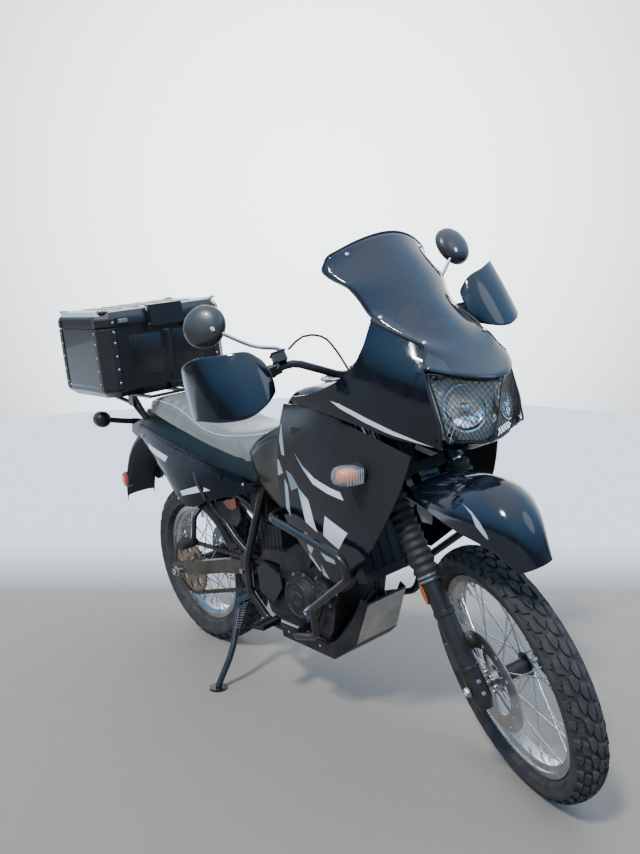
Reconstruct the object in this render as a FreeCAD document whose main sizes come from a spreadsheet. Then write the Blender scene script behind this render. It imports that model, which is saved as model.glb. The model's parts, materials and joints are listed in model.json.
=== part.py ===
"""Adventure motorcycle, parked on its side stand with the bars turned towards the stand.

The pieces are modelled upright in the machine's own frame: x forward from the rear axle, y to the left and z up
from the ground. Pieces that turn with the bars are modelled round the steering axis, which is their z.
Each piece then gets the placement of the parked machine: leaning to its right, with both tyres on the floor.
"""
import FreeCAD
import Part
import math
import os
import re

V = FreeCAD.Vector

# Driving dimensions in millimetres and degrees
SIZES = {
    # stance
    "wheelbase": 1480,
    "rake_angle": 28,
    "trail": 112,
    "fork_offset": 65,
    "lean_angle": 7.46,
    "steer_angle": 23.06,
    "origin_forward": 644.8,
    "origin_left": -148.4,
    # wheels
    "front_tyre_radius": 349,
    "front_tyre_width": 92,
    "front_rim_radius": 279,
    "front_rim_width": 54,
    "rear_tyre_radius": 320,
    "rear_tyre_width": 130,
    "rear_rim_radius": 229,
    "rear_rim_width": 80,
    "tyre_bead_depth": 12,
    "rim_wall": 4,
    "rim_depth": 24,
    "spoke_radius": 1.8,
    "spoke_pairs": 9,
    "spoke_seat": 2,
    "axle_radius": 9,
    "axle_bore_radius": 6,
    "running_fit": 0.05,
    "front_hub_radius": 21,
    "front_hub_flange": 34,
    "front_hub_width": 100,
    "rear_hub_radius": 30,
    "rear_hub_flange": 52,
    "rear_hub_width": 120,
    "hub_flange_wall": 6,
    "front_disc_radius": 140,
    "front_disc_inner": 92,
    "front_disc_side": 64,
    "rear_disc_radius": 120,
    "rear_disc_inner": 76,
    "rear_disc_side": 84,
    "disc_thickness": 4,
    "disc_holes": 12,
    "disc_hole_radius": 6,
    "sprocket_side": 95,
    "sprocket_thickness": 7,
    "sprocket_teeth": 42,
    "engine_sprocket_teeth": 15,
    "chain_pitch": 15.875,
    "chain_plate": 1.6,
    "chain_plate_height": 15,
    "chain_gap": 8.6,
    # fork, measured along and out from the steering axis
    "fork_spread": 105,
    "fork_tube_radius": 20.5,
    "fork_slider_radius": 27,
    "fork_slider_foot": 330,
    "fork_slider_top": 668,
    "gaiter_bottom": 655,
    "gaiter_top": 930,
    "gaiter_radius": 36,
    "gaiter_ribs": 11,
    "gaiter_wall": 2.5,
    "lower_clamp_level": 935,
    "lower_clamp_height": 30,
    "head_tube_length": 205,
    "head_tube_radius": 30,
    "head_gap": 1.5,
    "stem_radius": 13,
    "upper_clamp_height": 24,
    "clamp_wall": 12,
    # handlebar
    "bar_radius": 11,
    "bar_level": 1270,
    "bar_rise": 81,
    "bar_forward": 42,
    "bar_clamp_width": 46,
    "bar_half_width": 425,
    "grip_length": 125,
    "grip_radius": 17,
    "hand_guard_wall": 4,
    "mirror_spread": 400,
    "mirror_level": 1520,
    "mirror_half_width": 72,
    "mirror_half_height": 48,
    "mirror_depth": 26,
    "mirror_stem_radius": 5,
    # front fender and panels
    "fender_wall": 3.5,
    "panel_wall": 4,
    "screen_wall": 4,
    # frame
    "backbone_radius": 22,
    "down_tube_radius": 17,
    "cradle_radius": 14,
    "cradle_side": 118,
    "cradle_low_side": 100,
    "rail_radius": 11,
    "rail_side": 120,
    "pivot_forward": 410,
    "pivot_up": 409,
    "tank_tunnel_gap": 4,
    # swingarm
    "arm_height": 52,
    "arm_wall": 26,
    "arm_side": 134,
    "arm_pivot_side": 84,
    "pivot_tube_radius": 22,
    # engine
    "engine_half_width": 104,
    "engine_bottom": 264,
    "cylinder_tilt": 12,
    "cylinder_half": 62,
    "fin_half": 84,
    "fin_count": 9,
    "fin_wall": 3,
    "cover_radius": 76,
    "cover_depth": 34,
    # bars, stand and plates
    "crash_bar_radius": 12.5,
    "skid_wall": 4,
    "skid_half_width": 122,
    "skid_front_half": 90,
    "cradle_low": 236,
    "stand_radius": 11,
    "stand_pivot_forward": 390,
    "stand_pivot_side": 139,
    "stand_pivot_up": 295,
    "stand_foot_forward": 433,
    "stand_foot_side": 302,
    "stand_foot_radius": 30,
    "stand_foot_wall": 8,
    "stand_pin_radius": 6,
    "stand_eye_radius": 17,
    "stand_eye_wall": 12,
    "stand_gap": 1,
    "stand_lug_wall": 6,
    "guard_wall": 2.5,
    "guard_diamond_width": 18,
    "guard_diamond_height": 22,
    "guard_bar": 1.6,
    # luggage
    "case_length": 390,
    "case_width": 540,
    "case_height": 325,
    "case_front": -122,
    "case_floor": 1002,
    "case_wall": 3,
    "case_corner": 38,
    "case_bottom_corner": 24,
    "lid_height": 62,
    "lid_gap": 2,
    "hinge_forward": 18,
    "hinge_width": 140,
    "hinge_reach": 16,
    "hinge_pin_radius": 4,
    "hinge_drop": 6,
    "rack_height": 8,
    "rack_gap": 1,
}

doc = FreeCAD.newDocument("AdventureMotorcycle")
sheet = doc.addObject("Spreadsheet::Sheet", "Sizes")
for row, (alias, number) in enumerate(SIZES.items(), start=1):
    sheet.set(f"A{row}", alias)
    sheet.set(f"B{row}", str(number))
    sheet.setAlias(f"B{row}", alias)
doc.recompute()


def size(alias):
    """The value of one named cell of the sheet."""
    return float(sheet.get(alias))


def cells(text):
    """An expression with its size names turned into references to the sheet."""
    return re.sub(r"[a-z][a-z_]*", lambda m: "Sizes." + m.group() if m.group() in SIZES else m.group(), text)


# Placements of the parked machine
RIGHT = V(0, -1, 0)
WHEELBASE = size("wheelbase")
RAKE = math.radians(size("rake_angle"))
FORK_FOOT = V(WHEELBASE + size("trail"), 0, 0)
FORK_TURN = FreeCAD.Rotation(V(0, 1, 0), -size("rake_angle"))
FORK_STRAIGHT = FreeCAD.Placement(FORK_FOOT, FORK_TURN)
FORK_PARKED = FORK_STRAIGHT.multiply(FreeCAD.Placement(V(), FreeCAD.Rotation(V(0, 0, 1), -size("steer_angle"))))
REAR_CENTRE = V(0, 0, size("rear_tyre_radius"))
FRONT_LEVEL = (size("front_tyre_radius") - size("fork_offset") * math.sin(RAKE)) / math.cos(RAKE)
FRONT_CENTRE = V(size("fork_offset"), 0, FRONT_LEVEL)


def tyre_profile(part):
    """The outer shape of a tyre as (y, radius) pairs, from the near bead over the crown to the other bead."""
    radius = size(f"{part}_tyre_radius")
    rim_radius = size(f"{part}_rim_radius")
    bead = size(f"{part}_rim_width") / 2 - size("rim_wall")
    half = size(f"{part}_tyre_width") / 2
    depth = radius - rim_radius
    profile = [
        (-bead, rim_radius - size("tyre_bead_depth")),
        (-bead, rim_radius + 1),
        (-0.93 * half, rim_radius + 0.36 * depth),
        (-half, rim_radius + 0.58 * depth),
        (-0.84 * half, rim_radius + 0.82 * depth),
        (-0.45 * half, rim_radius + 0.96 * depth),
        (0, radius),
    ]
    return profile + [(-y, r) for y, r in reversed(profile[:-1])]


def lowest_point(placement, centre, part):
    """Height of the lowest point of a tyre that spins about its local y axis."""
    axis = placement.Rotation.multVec(V(0, 1, 0))
    drops = [axis.z * y - r * math.sqrt(1 - axis.z ** 2) for y, r in tyre_profile(part)]
    return placement.multVec(centre).z + min(drops)


def parked_placement():
    """Lean to the right, then the pitch and height that put both tyres on the floor."""
    lean = FreeCAD.Rotation(V(1, 0, 0), size("lean_angle"))
    pitch = 0.0
    height = 0.0
    for _ in range(12):
        turn = FreeCAD.Rotation(V(0, 1, 0), pitch).multiply(lean)
        whole = FreeCAD.Placement(V(0, 0, height), turn)
        rear = lowest_point(whole, REAR_CENTRE, "rear")
        front = lowest_point(whole.multiply(FORK_PARKED), FRONT_CENTRE, "front")
        height -= rear
        pitch += math.degrees((front - rear) / WHEELBASE)
    origin = V(-size("origin_forward"), -size("origin_left"), height)
    return FreeCAD.Placement(origin, turn)


CHASSIS = parked_placement()
FORK = CHASSIS.multiply(FORK_PARKED)
REAR_WHEEL = CHASSIS.multiply(FreeCAD.Placement(REAR_CENTRE, FreeCAD.Rotation()))
FRONT_WHEEL = FORK.multiply(FreeCAD.Placement(FRONT_CENTRE, FreeCAD.Rotation()))

# Turns that stand a cylinder's own z axis along x or y
ALONG = {
    "x": FreeCAD.Rotation(V(0, 1, 0), 90),
    "y": FreeCAD.Rotation(V(1, 0, 0), -90),
    "z": FreeCAD.Rotation(),
}
nodes = []


def set_node(item, label, placement):
    """Name a finished sub-part and put it where it belongs on the parked machine."""
    item.Label = label
    item.Placement = placement
    nodes.append(item)
    return item


def shape_node(label, shape, placement=None):
    """A sub-part whose shape is worked out here from the sheet."""
    item = doc.addObject("Part::Feature", label)
    item.Shape = shape
    return set_node(item, label, placement or CHASSIS)


def cylinder(name, radius, height, at, along="z"):
    """A cylinder whose radius, length and centre are expressions of the sheet."""
    item = doc.addObject("Part::Cylinder", name)
    item.setExpression("Radius", cells(radius))
    item.setExpression("Height", cells(height))
    item.Placement = FreeCAD.Placement(V(), ALONG[along])
    for key, text in zip("xyz", at):
        middle = f"({text}) - ({height}) / 2" if key == along else text
        item.setExpression("Placement.Base." + key, cells(middle))
    return item


def fused(name, items):
    """Several features made into one solid."""
    item = doc.addObject("Part::MultiFuse", name)
    item.Shapes = items
    return item


def cut(name, base, tool):
    """One feature with another taken out of it."""
    item = doc.addObject("Part::Cut", name)
    item.Base = base
    item.Tool = tool
    return item


def compound(name, items):
    """Separate solids kept in one sub-part."""
    item = doc.addObject("Part::Compound", name)
    item.Links = items
    return item


def both_sides(shape):
    """A shape and its mirror image across the machine's middle plane."""
    return Part.makeCompound([shape, shape.mirror(V(), V(0, 1, 0))])


def join(shapes):
    """Shapes fused into one, with the seams between their faces removed."""
    whole = shapes[0].multiFuse(shapes[1:])
    tidy = whole.copy().removeSplitter()
    return tidy if tidy.isValid() else whole


def placed(shape, base, turn):
    """A copy of a shape turned and moved, with nothing left over for its own placement."""
    return shape.transformed(FreeCAD.Placement(base, turn).toMatrix(), True)


def rod(start, end, radius):
    """A round bar between two points."""
    way = end.sub(start)
    return Part.makeCylinder(radius, way.Length, start, way)


def bends(points, radius):
    """Corner data of a bent route: where each arc starts and ends, and its centre."""
    result = []
    for before, corner, after in zip(points, points[1:], points[2:]):
        back = before.sub(corner).normalize()
        ahead = after.sub(corner).normalize()
        half = back.getAngle(ahead) / 2
        limit = 0.46 * min(before.sub(corner).Length, after.sub(corner).Length)
        reach = min(radius / math.tan(half), limit)
        inward = V(back).add(ahead).normalize()
        centre = corner.add(inward.multiply(reach / math.cos(half)))
        result.append((corner.add(V(back).multiply(reach)), corner.add(V(ahead).multiply(reach)), centre, math.pi - 2 * half))
    return result


def tube(points, radius, bend=60, sides=12):
    """A bar bent along straight runs and arcs: many-sided rings swept along the route."""
    stations = [(points[0], points[1].sub(points[0]).normalize())]
    for start, end, centre, angle in bends(points, bend):
        arm = start.sub(centre)
        other = end.sub(centre)
        axis = arm.cross(other).normalize()
        count = max(1, round(math.degrees(angle) / 20))
        for k in range(count + 1):
            turn = FreeCAD.Rotation(axis, math.degrees(angle) * k / count)
            out = turn.multVec(arm)
            stations.append((centre.add(out), axis.cross(out).normalize()))
    stations.append((points[-1], points[-1].sub(points[-2]).normalize()))
    way = stations[0][1]
    side = way.cross(V(0.3, 0.2, 0.9)).normalize()
    rings = []
    for at, ahead in stations:
        hinge = way.cross(ahead)
        if hinge.Length > 1e-9:
            side = FreeCAD.Rotation(V(hinge), math.degrees(math.asin(min(hinge.Length, 1.0)))).multVec(side)
        way = ahead
        up = ahead.cross(side)
        ring = []
        for k in range(sides):
            angle = 2 * math.pi * k / sides
            ring.append(at.add(V(side).multiply(radius * math.cos(angle))).add(V(up).multiply(radius * math.sin(angle))))
        rings.append(ring)
    faces = []
    for ring, following in zip(rings, rings[1:]):
        for j in range(sides):
            k = (j + 1) % sides
            faces += facets(ring[j], ring[k], following[k], following[j])
    for ring in (rings[0], rings[-1]):
        faces.append(Part.Face(Part.makePolygon(ring + ring[:1])))
    return closed_solid(faces)


def flip(points):
    """The same points on the other side of the machine."""
    return [V(p.x, -p.y, p.z) for p in points]


def spline(points):
    """One smooth edge through a row of points, or a straight one through two."""
    if len(points) == 2:
        return Part.LineSegment(*points).toShape()
    curve = Part.BSplineCurve()
    curve.interpolate(points)
    return curve.toShape()


def closed_solid(faces):
    """Faces that share their edges, sewn into one solid."""
    shell = Part.makeShell(faces)
    shell.sewShape()
    solid = Part.makeSolid(Part.makeShell(shell.Faces))
    if solid.Volume < 0:
        solid.reverse()
    return solid


def between(points, steps):
    """A row of points with smooth in-between points, a few to each gap."""
    first = V(points[0]).multiply(2).sub(points[1])
    last = V(points[-1]).multiply(2).sub(points[-2])
    line = [first] + list(points) + [last]
    result = []
    for before, here, there, after in zip(line, line[1:], line[2:], line[3:]):
        for k in range(steps):
            t = k / steps
            result.append(V(*(
                0.5 * (2 * b + (c - a) * t + (2 * a - 5 * b + 4 * c - d) * t ** 2 + (3 * b - 3 * c + d - a) * t ** 3)
                for a, b, c, d in zip(before, here, there, after)
            )))
    return result + [points[-1]]


def grid_between(rows, steps):
    """A grid of points refined both along its rows and from row to row."""
    fine = [between(row, steps) for row in rows]
    columns = [between(column, steps) for column in zip(*fine)]
    return [list(row) for row in zip(*columns)]


def facets(one, two, three, four):
    """A flat quadrilateral, or the two flat triangles that fill a twisted one."""
    if abs(two.sub(one).cross(three.sub(one)).normalize().dot(four.sub(one))) < 1e-8:
        return [Part.Face(Part.makePolygon([one, two, three, four, one]))]
    return [
        Part.Face(Part.makePolygon([one, two, three, one])),
        Part.Face(Part.makePolygon([one, three, four, one])),
    ]


def sheet_of(rows, wall):
    """A sheet through rows of points, with its wall on the side away from their normals."""
    across = len(rows[0])
    inner = []
    for i, points in enumerate(rows):
        low = rows[max(i - 1, 0)]
        high = rows[min(i + 1, len(rows) - 1)]
        line = []
        for j in range(across):
            side = points[min(j + 1, across - 1)].sub(points[max(j - 1, 0)])
            normal = side.cross(high[j].sub(low[j])).normalize()
            line.append(points[j].sub(normal.multiply(wall)))
        inner.append(line)
    faces = []
    for i in range(len(rows) - 1):
        for j in range(across - 1):
            for grid in (rows, inner):
                faces += facets(grid[i][j], grid[i][j + 1], grid[i + 1][j + 1], grid[i + 1][j])
        for j in (0, -1):
            faces += facets(rows[i][j], rows[i + 1][j], inner[i + 1][j], inner[i][j])
    for j in range(across - 1):
        for i in (0, -1):
            faces += facets(rows[i][j], rows[i][j + 1], inner[i][j + 1], inner[i][j])
    return closed_solid(faces)


def panel(rows, wall, steps=2):
    """A moulded skin: a smooth sheet through rows of points."""
    return sheet_of(grid_between(rows, steps), wall)


def rounded_section(x, low, high, half_low, half_high, corner):
    """Points round a section across the machine: a trapezium with rounded corners, at one station."""
    corners = [V(x, -half_low, low), V(x, half_low, low), V(x, half_high, high), V(x, -half_high, high)]
    ring = []
    for i, here in enumerate(corners):
        back = corners[i - 1].sub(here).normalize()
        ahead = corners[(i + 1) % 4].sub(here).normalize()
        half = back.getAngle(ahead) / 2
        reach = corner / math.tan(half)
        start = here.add(V(back).multiply(reach))
        end = here.add(V(ahead).multiply(reach))
        centre = here.add(V(back).add(ahead).normalize().multiply(corner / math.sin(half)))
        middle = centre.add(here.sub(centre).normalize().multiply(corner))
        ring += [start]
        for one, two in ((start, middle), (middle, end)):
            ring.append(centre.add(one.add(two).multiply(0.5).sub(centre).normalize().multiply(corner)))
            ring.append(two)
    return ring


def body_of(rings, steps=2):
    """A closed body through rings of points, smooth from ring to ring."""
    columns = [between(column, steps) for column in zip(*rings)]
    fine = [list(ring) for ring in zip(*columns)]
    faces = [Part.Face(Part.makePolygon(ring + ring[:1])) for ring in (fine[0], fine[-1])]
    count = len(fine[0])
    for ring, following in zip(fine, fine[1:]):
        for j in range(count):
            k = (j + 1) % count
            faces += facets(ring[j], ring[k], following[k], following[j])
    return closed_solid(faces)


def block(low, high):
    """A box between two corners."""
    return Part.makeBox(high.x - low.x, high.y - low.y, high.z - low.z, low)


def prism(points, way):
    """A flat outline pushed along one direction."""
    return Part.Face(Part.makePolygon(points + points[:1])).extrude(way)


def revolved(profile):
    """A ring about the y axis from an outline of (y, radius) pairs."""
    points = [V(0, y, r) for y, r in profile]
    return Part.Face(Part.makePolygon(points + points[:1])).revolve(V(), V(0, 1, 0), 360)


# Wheels
def tyre(label, part, placement):
    """A solid tyre section that sits between the rim's flanges, out to the tips of its lugs."""
    shape_node(label, revolved(tyre_profile(part)), placement)


def rim(label, radius, width, placement):
    """A channel rim: two flanges, two bead seats and a dropped well."""
    wall = size("rim_wall")
    half = width / 2
    seat = radius - size("tyre_bead_depth")
    well = radius - size("rim_depth")
    drop = half - wall - 7
    outer = [(half, radius), (half - wall, radius), (half - wall, seat), (drop, seat), (drop - 5, well)]
    inner = [(drop - 5, well - wall), (drop + 2, seat - wall), (half, seat - wall)]
    profile = [(-y, r) for y, r in outer] + [(y, r) for y, r in reversed(outer)]
    profile += [(y, r) for y, r in reversed(inner)] + [(-y, r) for y, r in inner]
    shape_node(label, revolved(profile), placement)


def hub(label, part, placement):
    """A hub barrel with two spoke flanges, bored for the axle."""
    flange_at = f"{part}_hub_width / 2 - hub_flange_wall / 2"
    barrel = cylinder(label + "_barrel", f"{part}_hub_radius", f"{part}_hub_width", ("0", "0", "0"), "y")
    left = cylinder(label + "_left", f"{part}_hub_flange", "hub_flange_wall", ("0", flange_at, "0"), "y")
    right = cylinder(label + "_right", f"{part}_hub_flange", "hub_flange_wall", ("0", f"-({flange_at})", "0"), "y")
    bore = cylinder(label + "_bore", "axle_radius + running_fit", f"{part}_hub_width + 2", ("0", "0", "0"), "y")
    whole = fused(label + "_whole", [barrel, left, right])
    set_node(cut(label, whole, bore), label, placement)


def spokes(label, part, placement):
    """Crossed spokes from both hub flanges to the rim, seated a little way into each."""
    flange_at = size(f"{part}_hub_width") / 2 - size("hub_flange_wall") / 2
    root = size(f"{part}_hub_flange") - size("spoke_seat") - 1
    tip = size(f"{part}_rim_radius") - size("rim_depth") - size("rim_wall") + size("spoke_seat")
    pairs = int(size("spoke_pairs"))
    step = 360 / (2 * pairs)
    lean = 55
    solids = []
    for k in range(2 * pairs):
        side = 1 if k % 2 else -1
        for way in (1, -1):
            foot = math.radians(k * step)
            head = foot + way * math.radians(lean - step / 2)
            start = V(root * math.cos(foot), side * flange_at + way, root * math.sin(foot))
            end = V(tip * math.cos(head), side * 3, tip * math.sin(head))
            solids.append(rod(start, end, size("spoke_radius")))
    shape_node(label, Part.makeCompound(solids), placement)


def disc(label, part, sign, placement):
    """A drilled brake disc on a spider that meets the end of the hub."""
    y = sign * size(f"{part}_disc_side")
    outer = size(f"{part}_disc_radius")
    inner = size(f"{part}_disc_inner")
    thick = size("disc_thickness")
    half = thick / 2
    ring = revolved([(y - half, inner), (y + half, inner), (y + half, outer), (y - half, outer)])
    count = int(size("disc_holes"))
    holes = []
    for k in range(count):
        angle = 2 * math.pi * k / count
        reach = (outer + inner) / 2 + (8 if k % 2 else -8)
        at = V(reach * math.cos(angle), y - thick, reach * math.sin(angle))
        holes.append(Part.makeCylinder(size("disc_hole_radius"), 2 * thick, at, V(0, 1, 0)))
    shape = ring.cut(Part.makeCompound(holes))
    hub_side = sign * size(f"{part}_hub_width") / 2
    outer_side = y + sign * half
    low = min(hub_side, outer_side)
    boss = Part.makeCylinder(size(f"{part}_hub_radius") + 14, abs(outer_side - hub_side), V(0, low, 0), V(0, 1, 0))
    arms = []
    for k in range(6):
        arm = block(V(0, y - half, -9), V(inner + 3, y + half, 9))
        arm.rotate(V(), V(0, 1, 0), 60 * k)
        arms.append(arm)
    shape = join([shape, boss] + arms)
    bore = Part.makeCylinder(size("axle_radius") + 4, 200, V(0, -100, 0), V(0, 1, 0))
    shape_node(label, shape.cut(bore), placement)


def tooth_radius(teeth):
    """Pitch radius of a chain sprocket."""
    return size("chain_pitch") / (2 * math.sin(math.pi / teeth))


def sprocket_shape(teeth, side, bore, holes):
    """A toothed plate with round lightening holes."""
    pitch_radius = tooth_radius(teeth)
    points = []
    for k in range(teeth):
        for share, reach in ((-0.32, -4.5), (-0.1, 3.5), (0.1, 3.5), (0.32, -4.5)):
            angle = 2 * math.pi * (k + 0.5 + share) / teeth
            radius = pitch_radius + reach
            points.append(V(radius * math.cos(angle), side - size("sprocket_thickness") / 2, radius * math.sin(angle)))
    plate = prism(points, V(0, size("sprocket_thickness"), 0))
    tools = [Part.makeCylinder(bore, 40, V(0, side - 20, 0), V(0, 1, 0))]
    for k in range(holes):
        angle = 2 * math.pi * k / holes
        reach = 0.68 * pitch_radius
        at = V(reach * math.cos(angle), side - 20, reach * math.sin(angle))
        tools.append(Part.makeCylinder(0.16 * pitch_radius, 40, at, V(0, 1, 0)))
    return plate.cut(Part.makeCompound(tools))


def rear_sprocket():
    """The driven sprocket on a carrier that meets the rear hub."""
    side = -size("sprocket_side")
    plate = sprocket_shape(int(size("sprocket_teeth")), side, size("axle_radius") + 4, 8)
    hub_end = -size("rear_hub_width") / 2
    start = side - size("sprocket_thickness") / 2
    carrier = Part.makeCylinder(size("rear_hub_flange") - 4, hub_end - start, V(0, start, 0), V(0, 1, 0))
    bore = Part.makeCylinder(size("axle_radius") + 4, 200, V(0, -100, 0), V(0, 1, 0))
    shape_node("rear_sprocket", join([plate, carrier]).cut(bore), REAR_WHEEL)


def build_wheels():
    for part, placement in (("front", FRONT_WHEEL), ("rear", REAR_WHEEL)):
        tyre(f"{part}_tyre", part, placement)
        rim(f"{part}_rim", size(f"{part}_rim_radius"), size(f"{part}_rim_width"), placement)
        hub(f"{part}_hub", part, placement)
        spokes(f"{part}_spokes", part, placement)
    disc("front_disc", "front", -1, FRONT_WHEEL)
    disc("rear_disc", "rear", 1, REAR_WHEEL)
    rear_sprocket()


# Fork and bars, round the steering axis
def fork_legs(name, radius, low, high):
    """A pair of round legs between two levels of the steering axis."""
    middle = f"(({low}) + ({high})) / 2"
    height = f"({high}) - ({low})"
    left = cylinder(name + "_left", radius, height, ("fork_offset", "fork_spread", middle))
    right = cylinder(name + "_right", radius, height, ("fork_offset", "-fork_spread", middle))
    return [left, right]


HEAD_TOP = "lower_clamp_level + lower_clamp_height + 2 * head_gap + head_tube_length"
CLAMP_TOP = HEAD_TOP + " + upper_clamp_height"


def level(text):
    """Sum of signed terms, each a size name, a number or their product."""
    total = 0.0
    for term in text.replace("-", "+ -").split("+"):
        factors = [f.strip() for f in term.split("*") if f.strip()]
        if not factors:
            continue
        product = 1.0
        for factor in factors:
            sign = -1.0 if factor.startswith("-") else 1.0
            word = factor.lstrip("- ")
            product *= sign * (size(word) if word in SIZES else float(word))
        total += product
    return total


def clamp_plate(low, height):
    """A triple clamp: a waisted plate round the stem and both fork tubes."""
    offset = size("fork_offset")
    spread = size("fork_spread")
    boss = size("fork_tube_radius") + size("clamp_wall")
    parts = [Part.makeCylinder(size("head_tube_radius"), height, V(0, 0, low))]
    for side in (1, -1):
        parts.append(Part.makeCylinder(boss, height, V(offset, side * spread, low)))
    outline = [
        V(-16, -24, low),
        V(offset - 14, -spread, low),
        V(offset + 22, -spread, low),
        V(offset - 2, -30, low),
        V(offset - 2, 30, low),
        V(offset + 22, spread, low),
        V(offset - 14, spread, low),
        V(-16, 24, low),
    ]
    parts.append(prism(outline, V(0, 0, height)))
    plate = join(parts)
    holes = []
    for side in (1, -1):
        holes.append(Part.makeCylinder(size("fork_tube_radius"), height + 2, V(offset, side * spread, low - 1)))
    return plate.cut(Part.makeCompound(holes))


def build_fork():
    lower = size("lower_clamp_level")
    lower_top = lower + size("lower_clamp_height")
    upper = level(HEAD_TOP)
    upper_top = upper + size("upper_clamp_height")
    stem = Part.makeCylinder(size("stem_radius") - size("running_fit"), upper - lower_top + 2, V(0, 0, lower_top - 1))
    half = size("bar_clamp_width")
    bar_at = V(size("bar_forward"), 0, size("bar_level"))
    risers = []
    for side in (1, -1):
        foot = V(bar_at.x - 14, side * half - 14, upper_top - 1)
        post = block(foot, V(bar_at.x + 14, side * half + 14, bar_at.z - 4))
        cap = Part.makeCylinder(20, 28, V(bar_at.x, side * half - 14, bar_at.z), V(0, 1, 0))
        risers += [post, cap]
    clamps = join([clamp_plate(lower, size("lower_clamp_height")), clamp_plate(upper, upper_top - upper), stem] + risers)
    bar_hole = Part.makeCylinder(size("bar_radius"), 300, V(bar_at.x, -150, bar_at.z), V(0, 1, 0))
    shape_node("triple_clamps", clamps.cut(bar_hole), FORK)
    tubes = fork_legs("fork_tube", "fork_tube_radius", "fork_slider_top", CLAMP_TOP + " + 6")
    set_node(compound("fork_tubes", tubes), "fork_tubes", FORK)
    sliders = []
    for side in (1, -1):
        foot = size("fork_slider_foot")
        at = V(size("fork_offset"), side * size("fork_spread"), foot)
        leg = Part.makeCylinder(size("fork_slider_radius"), size("fork_slider_top") - foot, at)
        heel = Part.makeCone(18, size("fork_slider_radius"), 26, V(at.x, at.y, foot - 26))
        sliders.append(join([leg, heel]))
    axle_bore = Part.makeCylinder(size("axle_radius") + size("running_fit"), 400, V(size("fork_offset"), -200, FRONT_LEVEL), V(0, 1, 0))
    shape_node("fork_sliders", Part.makeCompound([s.cut(axle_bore) for s in sliders]), FORK)
    build_gaiters()
    axle = cylinder("axle_bar", "axle_radius", "2 * fork_spread + 2 * fork_slider_radius", ("0", "0", "0"), "y")
    bore = cylinder("axle_hole", "axle_bore_radius", "2 * fork_spread + 2 * fork_slider_radius + 2", ("0", "0", "0"), "y")
    set_node(cut("front_axle", axle, bore), "front_axle", FRONT_WHEEL)
    build_front_fender()
    build_front_caliper()
    build_handlebar()


def build_gaiters():
    """Ribbed rubber bellows from the sliders' tops to the lower clamp."""
    low = size("gaiter_bottom")
    high = size("gaiter_top")
    big = size("gaiter_radius")
    wall = size("gaiter_wall")
    sides = 16
    grip = (size("fork_slider_radius") + 0.3) / math.cos(math.pi / sides)
    ribs = int(size("gaiter_ribs"))
    cuff = size("fork_slider_top") - low + 10
    step = (high - low - cuff) / ribs
    outer = [(grip + wall, low), (grip + wall, low + cuff)]
    for k in range(ribs):
        outer.append((big, low + cuff + (k + 0.5) * step))
        outer.append((big - 6, low + cuff + (k + 1) * step))
    inner = [(big - 6 - wall, high), (big - 6 - wall, low + cuff - 2), (grip, low + cuff - 2), (grip, low)]
    pair = []
    for side in (1, -1):
        rings = []
        for r, z in outer + inner:
            rings.append([
                V(
                    size("fork_offset") + r * math.cos(2 * math.pi * k / sides),
                    side * size("fork_spread") + r * math.sin(2 * math.pi * k / sides),
                    z
                )
                for k in range(sides)
            ])
        faces = []
        for ring, following in zip(rings, rings[1:] + rings[:1]):
            for j in range(sides):
                faces += facets(ring[j], ring[(j + 1) % sides], following[(j + 1) % sides], following[j])
        pair.append(closed_solid(faces))
    shape_node("fork_gaiters", Part.makeCompound(pair), FORK)


def straight(x, y, z):
    """A point of the straight-ahead machine, in the fork's own frame."""
    return FORK_STRAIGHT.inverse().multVec(V(x, y, z))


def build_front_fender():
    """A high fender: an arched skin with a raised middle and drooping sides, held under the lower clamp."""
    stations = (
        # x, z along the crown, half width, drop of the sides
        (1216, 835, 52, 8),
        (1330, 880, 92, 30),
        (1430, 908, 106, 58),
        (1530, 926, 108, 82),
        (1620, 922, 100, 92),
        (1688, 880, 86, 82),
        (1722, 822, 68, 58),
        (1738, 762, 46, 22),
    )
    rows = []
    for i, (x, z, half, drop) in enumerate(stations):
        before = stations[max(i - 1, 0)]
        after = stations[min(i + 1, len(stations) - 1)]
        along = V(after[0] - before[0], 0, after[1] - before[1]).normalize()
        down = V(along.z, 0, -along.x)
        row = []
        for share, fall in ((-1, 1), (-0.86, 0.55), (-0.42, 0.1), (0, 0), (0.42, 0.1), (0.86, 0.55), (1, 1)):
            at = V(x, share * half, z).add(V(down).multiply(fall * drop))
            row.append(straight(at.x, at.y, at.z))
        rows.append(row)
    skin = panel(rows[::-1], size("fender_wall"))
    lower = size("lower_clamp_level")
    x = size("fork_offset")
    boss = block(V(x - 25, -28, lower - 32), V(x + 45, 28, lower - 0.2))
    shape = join([skin, boss])
    clear = []
    for side in (1, -1):
        at = V(x, side * size("fork_spread"), lower - 300)
        clear.append(Part.makeCylinder(size("gaiter_radius") + 1.5, 300, at))
        clear.append(Part.makeCylinder(size("fork_tube_radius") + 13, 80, V(at.x, at.y, lower)))
    shape = shape.cut(Part.makeCompound(clear))
    shape = max(shape.Solids, key=lambda s: s.Volume)
    shape_node("front_fender", shape, FORK)


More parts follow.
